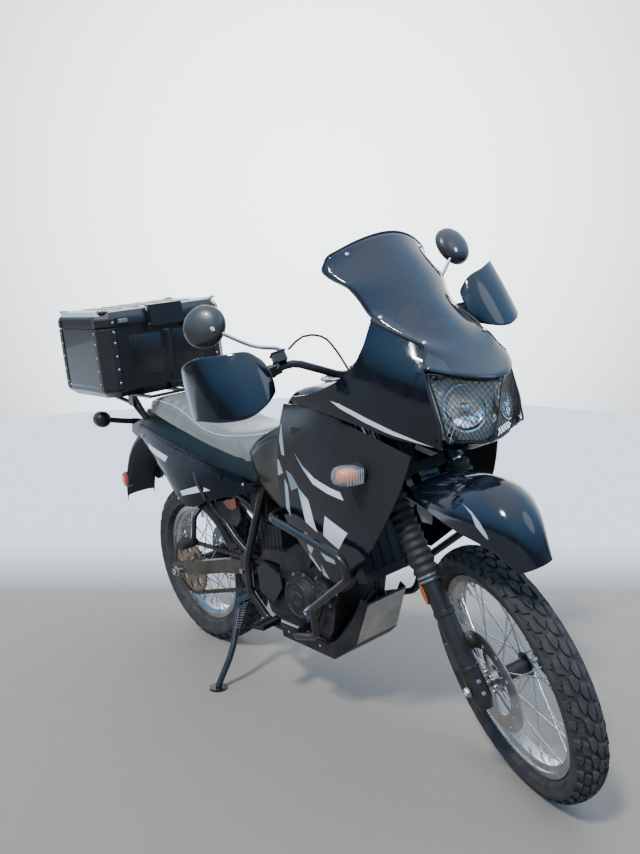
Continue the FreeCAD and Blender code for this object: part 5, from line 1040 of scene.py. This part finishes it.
def build_screen():
    """A flared touring screen with a waist, a rolled edge and button-headed bolts."""
    rows = [screen_row(*item) for item in SCREEN]
    fine = list(zip(*[smooth(column, 3) for column in zip(*rows)]))
    sheet = Shape().rings([list(column) for column in fine], open_ring=True)
    screen = piece("screen_sheet", sheet, BIKE, "chassis", "screen_glass_painted_reflection", angle=60, wall=3.2)
    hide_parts("windscreen")
    left = [row[0] for row in rows]
    edge = smooth(left, 4) + rows[-1][1:-1] + smooth([row[-1] for row in rows], 4)[::-1]
    bead = Shape().tube(edge[::2] + [edge[-1]], 2.6, 8)
    piece("screen_bead", bead, BIKE, "chassis", "black_rubber")
    bolts = Shape()
    struts = Shape()
    for sign in (1, -1):
        for at in ((1336, 120, 1219), (1221, 154, 1294), (1100, 140, 1458)):
            wanted = Vector((at[0], sign * at[1], at[2]))
            near = min((p for row in fine for p in row), key=lambda p: (p - wanted).length)
            bolts.stud(near + Vector((1.5, 0, 1.5)), (0.7, 0.45 * sign, 0.55), 6.5, 4)
        struts.tube(sided([(1340, 119, 1220), (1368, 110, 1180), (1394, 97, 1141)], sign), 2.6, 8)
    piece("screen_bolts", bolts, BIKE, "chassis", "spoke_metal")
    piece("guard_struts", struts, BIKE, "chassis", "satin_black_metal")
    trim = Shape()
    route = [
        (1199, 164, 1289), (1240, 156, 1268), (1290, 142, 1244), (1334, 124, 1214), (1361, 154, 1158),
        (1385, 162, 1092), (1405, 160, 1024), (1394, 152, 966),
    ]
    for sign in (1, -1):
        trim.tube(sided(route, sign), 4.2, 8)
    piece("cowl_trim", trim, BIKE, "chassis", "black_plastic")


GUARD_TOP = ((-34, 500, 1455), (20, 494, 1454), (80, 464, 1442), (122, 405, 1416), (136, 345, 1400), (118, 306, 1374))
GUARD_FOOT = ((-34, 519, 1308), (20, 510, 1289), (82, 466, 1250), (122, 405, 1228), (134, 350, 1240), (122, 304, 1268))


def build_hand_guards():
    """Wrap-round shells with rounded corners and a soft forward swell, on stays from the bar's ends."""
    shells = Shape()
    stays = Shape()
    for sign in (1, -1):
        top = smooth(GUARD_TOP, 5)
        foot = smooth(GUARD_FOOT, 5)
        rows = []
        for v in (0.0, 0.04, 0.15, 0.32, 0.5, 0.68, 0.85, 0.96, 1.0):
            swell = math.sin(math.pi * v)
            row = []
            for k, (a, b) in enumerate(zip(foot, top)):
                u = k / (len(foot) - 1)
                at = a.lerp(b, v)
                inward = 4 * swell * u ** 4 - 10 * (1 - swell ** 0.25) * u ** 8
                row.append(Vector((at.x + 9 * swell * (0.3 + 0.7 * u), sign * (at.y - inward), at.z)))
            rows.append(row)
        shells.rings(rows, open_ring=True)
        stays.tube(sided([(-6, 432, 1343), (-14, 470, 1344), (-26, 506, 1352)], sign), 6, 12)
        bar_end = stand_on((-8, sign * 431, 1343), (-0.05, sign, 0))
        stays.lathe([(16, -4), (16, 12), (12, 16), (5, 17)], bar_end, 24)
    shell = piece("guard_shells", shells, FORK, "fork", "gloss_black", angle=60, wall=4, levels=1)
    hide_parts("hand_guards")
    piece("guard_stays", stays, FORK, "fork", "black_plastic")


LAMP_ROWS = ((1438, 1420, 962, 988, 150), (1460, 1400, 1040, 1072, 154), (1476, 1374, 1118, 1156, 157))


def on_lamp(u, v, shift=0.0):
    """A point on the swept front of the lamp guard, u across from -1 to 1 and v up from 0 to 1."""
    low, high = (LAMP_ROWS[0], LAMP_ROWS[1]) if v < 0.5 else (LAMP_ROWS[1], LAMP_ROWS[2])
    part = 2 * v if v < 0.5 else 2 * v - 1
    keel_x, edge_x, keel_z, edge_z, half = [a + (b - a) * part for a, b in zip(low, high)]
    side = abs(u) ** 1.12
    return Vector((keel_x + (edge_x - keel_x) * side - shift, half * u, keel_z + (edge_z - keel_z) * side))


def build_lamp_guard():
    """A wire guard: a bent frame with a keel, filled with flat diamonds."""
    wires = Shape()
    bars = Shape()
    pitch = 0.088
    rise = 0.115
    for lean in (1, -1):
        for start in range(-24, 40):
            route = []
            for k in range(81):
                v = k / 80
                u = start * pitch + lean * v * pitch / rise - (0 if lean > 0 else 0.4)
                if abs(u) <= 0.99:
                    route.append(on_lamp(u, v))
            if len(route) > 3:
                wires.tube(route[::4] + [route[-1]], 0.9, 5)
    outline = [on_lamp(u / 12, 1) for u in range(-12, 13)] + [on_lamp(1, v / 4) for v in range(3, -1, -1)]
    outline += [on_lamp(u / 12, 0) for u in range(11, -13, -1)] + [on_lamp(-1, v / 4) for v in range(1, 5)]
    bars.tube(outline, 3, 8)
    bars.tube([on_lamp(0, v / 6) for v in range(7)], 2.2, 8)
    for sign in (1, -1):
        bars.lathe([(5, 0), (5, 40)], stand_on((1346, sign * 132, 1140), (1, 0, 0)), 12)
        bars.lathe([(5, 0), (5, 46)], stand_on((1376, sign * 128, 1000), (1, 0, 0)), 12)
        for at, v in ((0.84, 0.97), (0.84, 0.06)):
            bars.bolt(on_lamp(sign * at, v, -2), (1, 0.4 * sign, 0.2), 5.5, 4)
    frame_bars = piece("lamp_guard_frame", bars, BIKE, "chassis", "satin_black_metal")
    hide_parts("headlight_guard")
    piece("lamp_guard_wires", wires, BIKE, "chassis", "satin_black_metal")
    bowls = Shape()
    caps = Shape()
    for sign in (1, -1):
        centre = on_lamp(0.47 * sign, 0.52, 24)
        turn = stand_on(centre, (1, 0.42 * sign, 0.28))
        bowl = [(60, 6), (56, 0), (48, -5), (34, -10), (16, -13), (16, -2), (12, 2), (0.1, 3)]
        bowls.lathe(bowl, turn, 40, caps=False)
        caps.lathe([(61, 4), (61, 9), (57, 9), (57, 4)], turn, 40, loop=True)
        caps.lathe([(13, 2), (13, 12), (9, 16), (0.1, 17)], turn, 24)
    piece("lamp_bowls", bowls, BIKE, "chassis", "fork_chrome", angle=50)
    piece("lamp_rims", caps, BIKE, "chassis", "spoke_metal")


def build_controls():
    """Ribbed grip sleeves, bar ends, lever pivots and reservoir caps."""
    start = Vector((44, -263.5, 1351))
    end = Vector((-8, -425, 1343))
    way = (end - start).normalized()
    inner = end - way * 125
    sleeve = Shape()
    ends = Shape()
    profile = [(17.05, 6)]
    for k in range(26):
        profile += [(18.4, 8 + 4.4 * k), (18.4, 10.2 + 4.4 * k), (17.1, 10.8 + 4.4 * k), (17.1, 12 + 4.4 * k)]
    sleeve.lathe(profile, stand_on(inner, way), 28, caps=False)
    piece("grip_ribs", sleeve.mirrored(), FORK, "fork", "black_rubber")
    perch = inner - way * 45
    ends.bolt(perch + Vector((34, -4, 9)), (0, 0, 1), 5, 5)
    ends.box(perch + Vector((3, -5, 33.6)), perch + Vector((41, 37, 38)))
    for dx, dy in ((10, 4), (34, 28)):
        ends.stud(perch + Vector((dx, dy, 38)), (0, 0, 1), 3, 2)
    for lift in (-9, 9):
        ends.bolt(perch + Vector((-15, 0, lift)) - way * 4, (-1, 0, 0), 3.5, 4)
    ends.box(inner - way * 22 + Vector((-24, -9, -5)), inner - way * 22 + Vector((-18, 3, 5)))
    piece("control_fittings", ends.mirrored(), FORK, "fork", "black_plastic", bevel=0.8)
    caps = Shape()
    for side in (1, -1):
        for x in (30, 54):
            caps.bolt((x, side * 46, 1288.5), (0, 0, 1), 4.5, 5)
        caps.bolt((FORK_OFFSET, side * 105, 1205), (0, 0, 1), 11, 6)
        caps.bolt((FORK_OFFSET + 33, side * 112, 1187), (1, 0, 0), 4, 5)
        caps.bolt((FORK_OFFSET + 33, side * 112, 950), (1, 0, 0), 4, 5)
    caps.bolt((0, 0, 1198.5), (0, 0, 1), 14, 8)
    piece("clamp_bolts", caps, FORK, "fork", "steel", bevel=0.4)


def build_fork_details():
    """Reflectors, collars on the sliders, clips on the gaiters and the brake hose down the fork."""
    marks = Shape()
    frames = Shape()
    hose = Shape()
    clips = Shape()
    outline = [(14 * a, 30 * b) for a, b in circle(1, 28)]
    for sign in (1, -1):
        upright = Matrix.Translation((FORK_OFFSET - 8, sign * 131.5, 632))
        turn = upright @ Matrix.Rotation(math.radians(-90 * sign), 4, "X")
        marks.prism([(0.86 * x, 0.9 * y) for x, y in outline], 5.2, turn)
        frames.prism(outline, 4, turn)
        leg = Matrix.Translation((FORK_OFFSET, sign * 105, 0))
        frames.lathe([(27.3, 560), (30, 562), (30, 576), (27.3, 578)], leg, 28)
        frames.lathe([(27.3, 410), (29.5, 412), (29.5, 419), (27.3, 421)], leg, 28)
        for z in (658, 670):
            clips.lathe([(30.9, z), (32.1, z + 1), (32.1, z + 6), (30.9, z + 7)], leg, 32)
    hose.tube([
        (-12, -78, 500), (-22, -70, 560), (2, -66, 660), (20, -64, 780), (24, -62, 900), (12, -60, 960),
        (-4, -52, 1060), (12, -60, 1170),
    ], 4.2, 10)
    piece("fork_reflectors", marks, FORK, "fork", "orange_lens", bevel=0.8)
    piece("slider_collars", frames, FORK, "fork", "black_plastic", bevel=0.6)
    piece("gaiter_clips", clips, FORK, "fork", "steel")
    piece("brake_hose", hose, FORK, "fork", "hose")


# Engine and running gear
def build_engine_details():
    """Covers with their flanges and bolts, the head's bolts, hoses, plug lead and radiator fins."""
    covers = Shape()
    bolts = Shape()
    y = 104
    for x, z, sign, radius, depth, count in (
        (720, 385, -1, 76, 34, 9), (838, 440, -1, 46, 26, 5), (650, 400, 1, 92, 34, 10), (800, 400, 1, 52, 34, 6),
    ):
        turn = stand_on((x, sign * y, z), (0, sign, 0))
        covers.lathe([(radius + 9, -1), (radius + 9, 6), (radius + 7, 8), (radius - 2, 8)], turn, 48)
        face = radius - 12
        profile = (
            (face - 2, -1), (face - 4, 2.5), (face - 9, 2.5), (face - 11, 0.4), (0.45 * face, 0.4), (0.42 * face, 3),
            (0.24 * face, 3), (0.22 * face, 0.6), (0.1, 0.6),
        )
        covers.lathe([(r, depth + lift) for r, lift in profile], turn, 48, caps=False)
        for a, b in circle(radius + 4, count):
            bolts.bolt((x + a, sign * (y + 8), z + b), (0, sign, 0), 4.2, 5)
    for z in range(285, 335, 12):
        covers.box((560, -106.5, z), (830, -103, z + 4))
    tilt = Matrix.Translation((800, 0, 551)) @ Matrix.Rotation(math.radians(12), 4, "Y")
    for x in (-66, 0, 66):
        for y in (-60, 60):
            bolts.bolt(tilt @ Vector((x * 0.78, y, 232)), tilt.to_3x3() @ Vector((0, 0, 1)), 4.5, 5)
    for sign in (1, -1):
        covers.box((-58, sign * 71.5 - 2.5, 206), (58, sign * 71.5 + 2.5, 212), tilt)
        covers.lathe([(26, 0), (26, 4), (20, 6)], tilt @ stand_on((10, sign * 69.5, 172), (0, sign, 0)), 32)
        for a, b in ((1, 1), (-1, 1), (-1, -1), (1, -1)):
            bolts.bolt(tilt @ Vector((10 + 14.85 * a, sign * 73, 172 + 14.85 * b)), (0, sign, 0), 3, 3.5)
    piece("engine_covers", covers, BIKE, "chassis", "engine_metal", bevel=0.6)
    piece("engine_bolts", bolts, BIKE, "chassis", "steel", bevel=0.3)
    hoses = Shape()
    hoses.tube([(1056, -150, 566), (1030, -156, 548), (980, -140, 500), (900, -134, 462), (858, -132, 446)], 12, 16)
    hoses.tube([(1102, -80, 812), (1060, -70, 830), (980, -66, 800), (900, -56, 742), (880, -40, 728)], 12, 16)
    hoses.tube([(800, -76, 640), (806, -96, 620), (800, -112, 560), (770, -112, 500)], 6, 12)
    piece("coolant_hoses", hoses, BIKE, "chassis", "hose")
    fins = Shape()
    core = Matrix.Translation((1078, -106, 694)) @ Matrix.Rotation(math.radians(-14), 4, "Y")
    for k in range(46):
        z = -112 + k * 5
        fins.box((16, -88, z), (18.4, 64, z + 1.6), core)
    for y in (-88, -50, -12, 26, 62):
        fins.box((16, y, -114), (19.4, y + 3, 114), core)
    piece("radiator_fins", fins, BIKE, "chassis", "satin_black_metal")


def build_valances():
    """Dark panels that close the gap from the covers' top edges up to the seat's lower edge."""
    shape = Shape()
    foot = (
        (590, 150, 752), (516, 165, 775), (400, 171, 790), (280, 174, 806), (160, 172, 822), (50, 167, 840),
        (-70, 156, 859), (-150, 141, 864), (-196, 131, 867),
    )
    head = (
        (590, 104, 820), (520, 124, 822), (400, 134, 842), (280, 136, 862), (160, 132, 888), (50, 126, 908),
        (-70, 108, 925), (-150, 90, 930), (-192, 82, 928),
    )
    for sign in (1, -1):
        columns = []
        for low, high in zip(foot, head):
            swell = (Vector(low) + Vector(high)) / 2 + Vector((0, 5, 0))
            columns.append(smooth(sided([low, swell, high], sign), 3))
        shape.rings([smooth(row, 3) for row in zip(*columns)], open_ring=True)
    piece("seat_valances", shape, BIKE, "chassis", "valance_black", angle=60, wall=2.5)


def build_midsection():
    """Knee panels below the tank, the airbox and carburettor, side plates and a red catch by the shock."""
    panels = Shape()
    rows = (
        [(742, 138, 965), (690, 150, 940), (620, 152, 905), (565, 148, 860)],
        [(772, 160, 880), (706, 152, 850), (640, 148, 822), (575, 140, 792)],
        [(792, 166, 800), (728, 146, 765), (664, 134, 745), (612, 126, 720)],
        [(800, 150, 730), (756, 132, 700), (706, 120, 684), (668, 112, 668)],
    )
    for sign in (1, -1):
        fine = [smooth(sided(row, sign), 4) for row in rows]
        panels.rings(list(zip(*[smooth(column, 3) for column in zip(*fine)])), open_ring=True)
    piece("knee_panels", panels, BIKE, "chassis", "knee_paint", angle=60, wall=3)
    box = Shape()
    outline = ((-92, 600), (92, 600), (104, 640), (104, 700), (88, 742), (-88, 742), (-104, 700), (-104, 640))
    box.rings([[(x, y, z) for y, z in outline] for x in (470, 560)])
    throat = stand_on((560, -18, 640), (1, 0.05, 0.05))
    box.lathe([(34, -2), (38, 6), (38, 24), (30, 30), (30, 44), (34, 50), (34, 58)], throat, 32)
    box.lathe([(20, -60), (22, -56), (22, 40), (18, 48), (0.1, 50)], stand_on((602, -18, 640), (0, 0, 1)), 28)
    box.lathe([(15, 18), (19, 22), (19, 28), (14, 32), (0.1, 32)], stand_on((602, -22, 640), (0, -1, 0)), 24)
    box.box((468, -84, 476), (596, 84, 592))
    for k in range(5):
        box.box((484 + 22 * k, -86.5, 484), (494 + 22 * k, 86.5, 584))
    piece("airbox", box, BIKE, "chassis", "black_plastic", bevel=2)
    plates = Shape()
    marks = Shape()
    flap = [(237, 619), (300, 640), (425, 676), (433, 600), (400, 566), (316, 570), (262, 590)]
    catch = [(340, 650), (419, 676), (423, 642), (396, 628), (367, 630)]
    for sign in (1, -1):
        for holder, outline, y, wall in ((plates, flap, 122, 4), (marks, catch, 127, 5)):
            turn = Matrix(((1, 0, 0, 0), (0, 0, sign, sign * y), (0, 1, 0, 0), (0, 0, 0, 1)))
            holder.prism(outline, wall, turn)
        for x, z in ((262, 610), (420, 590)):
            plates.bolt((x, sign * 126, z), (0, sign, 0), 5, 4)
    piece("rocker_plates", plates, BIKE, "chassis", "engine_metal", bevel=1.2)
    piece("red_catches", marks, BIKE, "chassis", "red_lens", bevel=1)


def build_shock():
    """Damper, collars and an open coil spring."""
    low = Vector((340, 0, 398))
    high = Vector((443, 0, 766))
    way = (high - low).normalized()
    low += way * 18.3
    high -= way * 10.3
    length = (high - low).length
    turn = stand_on(low, way)
    damper = Shape()
    damper.lathe([
        (14, 0), (14, 26), (17, 30), (30, 34), (30, 41), (14, 42), (14, 150), (8, 151), (8, 220), (22, 222),
        (22, length - 14), (14, length - 8), (14, length),
    ], turn, 32)
    collar = [(22, length - 92), (31, length - 90), (31, length - 82), (24, length - 80), (24, length - 60)]
    damper.lathe(collar, turn, 32)
    body = piece("shock_damper", damper, BIKE, "chassis", "black_metal")
    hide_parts("rear_shock")
    steps = 120
    route = []
    for k in range(steps + 1):
        x, y = circle(26.5, 16)[k % 16]
        route.append(turn @ Vector((x, y, 46 + (length - 142) * k / steps)))
    piece("shock_spring", Shape().wire(route, way, 5.2, 10), BIKE, "chassis", "gloss_black")


def build_skid_plate():
    """The bare front face that the stones have cleaned, with rivets there and along the sides."""
    bare = Shape()
    rivets = Shape()
    foot = Vector((926, 0, 272))
    rise = Vector((66, 0, 156))
    slope = rise.normalized()
    out = Vector((slope.z, 0, -slope.x))
    half = ((0.05, 88), (0.5, 85), (0.96, 81))
    rings = []
    for lift in (4.4, 6.0):
        left, right = [[foot + rise * t + out * lift + Vector((0, sign * y, 0)) for t, y in half] for sign in (1, -1)]
        rings.append(right + left[::-1])
    bare.rings(rings)
    for k in range(6):
        t = 0.1 + 0.16 * k
        for sign in (1, -1):
            rivets.stud(foot + rise * t + out * 6 + Vector((0, sign * (79 - 7 * t), 0)), out, 4, 2.6)
    for x in (640, 720, 800):
        for sign in (1, -1):
            rivets.stud((x, sign * 127, 246), (0, sign, -0.2), 5, 3)
    piece("skid_face", bare, BIKE, "chassis", "bare_aluminium", bevel=0.6)
    piece("skid_rivets", rivets, BIKE, "chassis", "steel")


def build_rubbers():
    """Teeth on the front pegs, sleeves on the rear ones and the gear lever's rubber."""
    rubber = Shape()
    for sign in (1, -1):
        start = Vector((632, sign * 170, 306))
        end = Vector((660, sign * 262, 318))
        for k in range(9):
            for shift in (-17, 17):
                x, y, z = start.lerp(end, (k + 1.2) / 10) + Vector((shift, 0, 7))
                rubber.rings([
                    rectangle(x - 6, x + 6, y - 3.4, y + 3.4, z - 1), rectangle(x - 4, x + 4, y - 1.4, y + 1.4, z + 5)
                ])
        sleeve = stand_on((226, sign * 190, 496), (0.13, sign, 0.11))
        rubber.lathe([(14.2, 22), (16, 24), (16, 68), (14.5, 71)], sleeve, 24)
    toe = stand_on((868, -206, 386), (0.9, -0.4, 0.05))
    rubber.lathe([(6.2, -26), (9, -24), (9, 4), (7, 6), (0.1, 6)], toe, 20)
    piece("peg_rubbers", rubber, BIKE, "chassis", "black_rubber", bevel=0.4)


def build_trim():
    """Side reflectors, straps and bolts on the side covers, and the filler's ring."""
    marks = Shape()
    backs = Shape()
    strap = Shape()
    studs = Shape()
    for sign in (1, -1):
        turn = stand_on((-478, sign * 76, 596), (0, sign, 0))
        backs.lathe([(33, -8), (33, 7), (31, 9)], turn, 32)
        marks.lathe([(29, 8), (29, 12), (25, 15), (0.1, 16)], turn, 32)
        line = smooth(sided([(258, 183, 758), (276, 186.5, 724), (300, 187.5, 694), (318, 186, 668)], sign), 4)
        section = ((-9, 0), (9, 0), (9, 2.4), (-9, 2.4))
        strap.rings([[at + Vector((x, sign * y, 0)) for x, y in section] for at in line])
        for x, y, z in ((540, 172.4, 752), (-150, 148.4, 838), (130, 183.4, 640)):
            studs.stud((x, sign * y, z), (0, sign, 0), 6, 3.5)
    piece("side_reflectors", marks, BIKE, "chassis", "red_lens", angle=60)
    piece("reflector_backs", backs, BIKE, "chassis", "black_plastic")
    piece("cover_straps", strap, BIKE, "chassis", "black_rubber", bevel=0.5)
    piece("panel_bolts", studs, BIKE, "chassis", "steel")
    ring = Shape()
    ring.lathe([(46, -2), (46, 4), (42, 7), (35, 7), (35, 2)], Matrix.Translation((850, 0, 1090)), 48)
    for x, y in circle(40, 6):
        ring.bolt((850 + x, y, 1096.5), (0, 0, 1), 2.6, 3)
    piece("filler_ring", ring, BIKE, "chassis", "bare_aluminium", bevel=0.5)


def build_stand_spring():
    """A thin coil beside the stand that rides on its leg."""
    top = Vector((404, -122, 306))
    foot = Vector((424, -196, 205))
    axis = (foot - top).normalized()
    side = axis.orthogonal().normalized()
    steps = 132
    route = [top]
    for k in range(steps + 1):
        x, y = circle(7, 12)[k % 12]
        route.append(top.lerp(foot, 0.12 + 0.76 * k / steps) + side * x + axis.cross(side) * y)
    piece("stand_spring", Shape().wire(route + [foot], axis, 1.6, 6), BIKE, "stand_leg", "steel")


# Floor, light and camera
CAMERA_AT = Vector((2.1502, -1.7016, 1.248))
CAMERA_YAW = math.radians(139.7)
CAMERA_PITCH = math.radians(7.0)
PICTURE_HEIGHT = 854
FOCAL_PIXELS = 855
BACKDROP_WAY = (-0.755, 0.640, 0.14)


def floor_finish():
    """Grey-beige paper, darker towards the camera by painted shade, that pales in the distance, where a studio sweep
    would turn up.
    """
    made = finish("floor_grey", (0.268, 0.234, 0.198), 0.85, grain=30, bump=0.03, vary=0.02)
    tree = made.node_tree
    shader = tree.nodes["Principled BSDF"]
    near = shader.inputs["Base Color"].links[0].from_socket
    reach = along(tree, tree.nodes.new("ShaderNodeTexCoord").outputs["Object"], (-0.7627, 0.6468, 0))
    # Darker towards the camera: painted shade.
    near = blend(tree, spread(tree, reach, -1.3, 0.7, 0.0, 1.0), (0.225, 0.195, 0.165), near)
    far = spread(tree, reach, 1.12, 2.0, 0.0, 1.0)
    tree.links.new(blend(tree, far, near, (0.78, 0.79, 0.80)), shader.inputs["Base Color"])
    return made


def build_stage():
    """The floor, two suns, and a world where the camera sees a pale wall only and gloss reflects a sky too."""
    mesh = bpy.data.meshes.new("floor")
    mesh.from_pydata([(-9, -9, 0), (9, -9, 0), (9, 9, 0), (-9, 9, 0)], [], [(0, 1, 2, 3)])
    item = bpy.data.objects.new("floor", mesh)
    bpy.context.scene.collection.objects.link(item)
    item.data.materials.append(floor_finish())
    world = bpy.data.worlds.new("studio")
    bpy.context.scene.world = world
    world.use_nodes = True
    tree = world.node_tree
    sky = tree.nodes["Background"]
    where = tree.nodes.new("ShaderNodeTexCoord").outputs["Generated"]
    split = tree.nodes.new("ShaderNodeSeparateXYZ")
    tree.links.new(where, split.inputs[0])
    ramp = tree.nodes.new("ShaderNodeValToRGB")
    tree.links.new(spread(tree, split.outputs["Z"], -0.2, 1.0, 0.0, 1.0), ramp.inputs[0])
    stops = (
        (0.0, (0.08, 0.075, 0.07)), (0.20, (0.07, 0.065, 0.06)), (0.245, (0.10, 0.20, 0.32)),
        (0.42, (0.18, 0.40, 0.72)), (0.72, (0.36, 0.60, 0.90)), (1.0, (0.70, 0.80, 0.95)),
    )
    elements = ramp.color_ramp.elements
    while len(elements) < len(stops):
        elements.new(0.5)
    for element, (place, colour) in zip(elements, stops):
        element.position = place
        element.color = (*colour, 1.0)
    glow = along(tree, where, BACKDROP_WAY)
    wall = blend(tree, spread(tree, glow, 0.90, 1.0, 0.0, 1.0), (0.62, 0.65, 0.67), (1.9, 2.0, 2.05))
    share = spread(tree, glow, 0.45, 0.80, 0.0, 1.0)
    around = blend(tree, share, ramp.outputs["Color"], wall)
    seen = tree.nodes.new("ShaderNodeLightPath").outputs["Is Camera Ray"]
    tree.links.new(blend(tree, seen, around, wall), sky.inputs["Color"])
    sky.inputs["Strength"].default_value = 2.1
    for name, way, width, power, colour in (
        ("key", (-0.30, 0.85, -1.0), 7, 3.2, (1.0, 0.96, 0.90)),
        ("fill", (-1.0, -0.5, -0.8), 30, 0.35, (0.93, 0.96, 1.0)),
    ):
        lamp = bpy.data.lights.new(name, "SUN")
        lamp.angle = math.radians(width)
        lamp.energy = power
        lamp.color = colour
        item = bpy.data.objects.new(name, lamp)
        item.location = (0, 0, 5)
        item.rotation_euler = Vector(way).to_track_quat("-Z", "Y").to_euler()
        bpy.context.scene.collection.objects.link(item)


def build_camera():
    data = bpy.data.cameras.new("camera")
    data.sensor_fit = "VERTICAL"
    data.sensor_height = 36
    data.lens = FOCAL_PIXELS / PICTURE_HEIGHT * data.sensor_height
    item = bpy.data.objects.new("camera", data)
    level = math.cos(CAMERA_PITCH)
    ahead = Vector((math.cos(CAMERA_YAW) * level, math.sin(CAMERA_YAW) * level, -math.sin(CAMERA_PITCH)))
    item.location = CAMERA_AT
    item.rotation_euler = ahead.to_track_quat("-Z", "Y").to_euler()
    bpy.context.scene.collection.objects.link(item)
    bpy.context.scene.camera = item


build_camera()
build_stage()
dress_nodes()
build_wheel_parts()
build_chain()
build_seat()
build_case()
build_lamps()
build_mirrors()
build_dials()
build_screen()
build_hand_guards()
build_lamp_guard()
build_controls()
build_fork_details()
build_engine_details()
build_valances()
build_midsection()
build_shock()
build_skid_plate()
build_rubbers()
build_trim()
build_stand_spring()
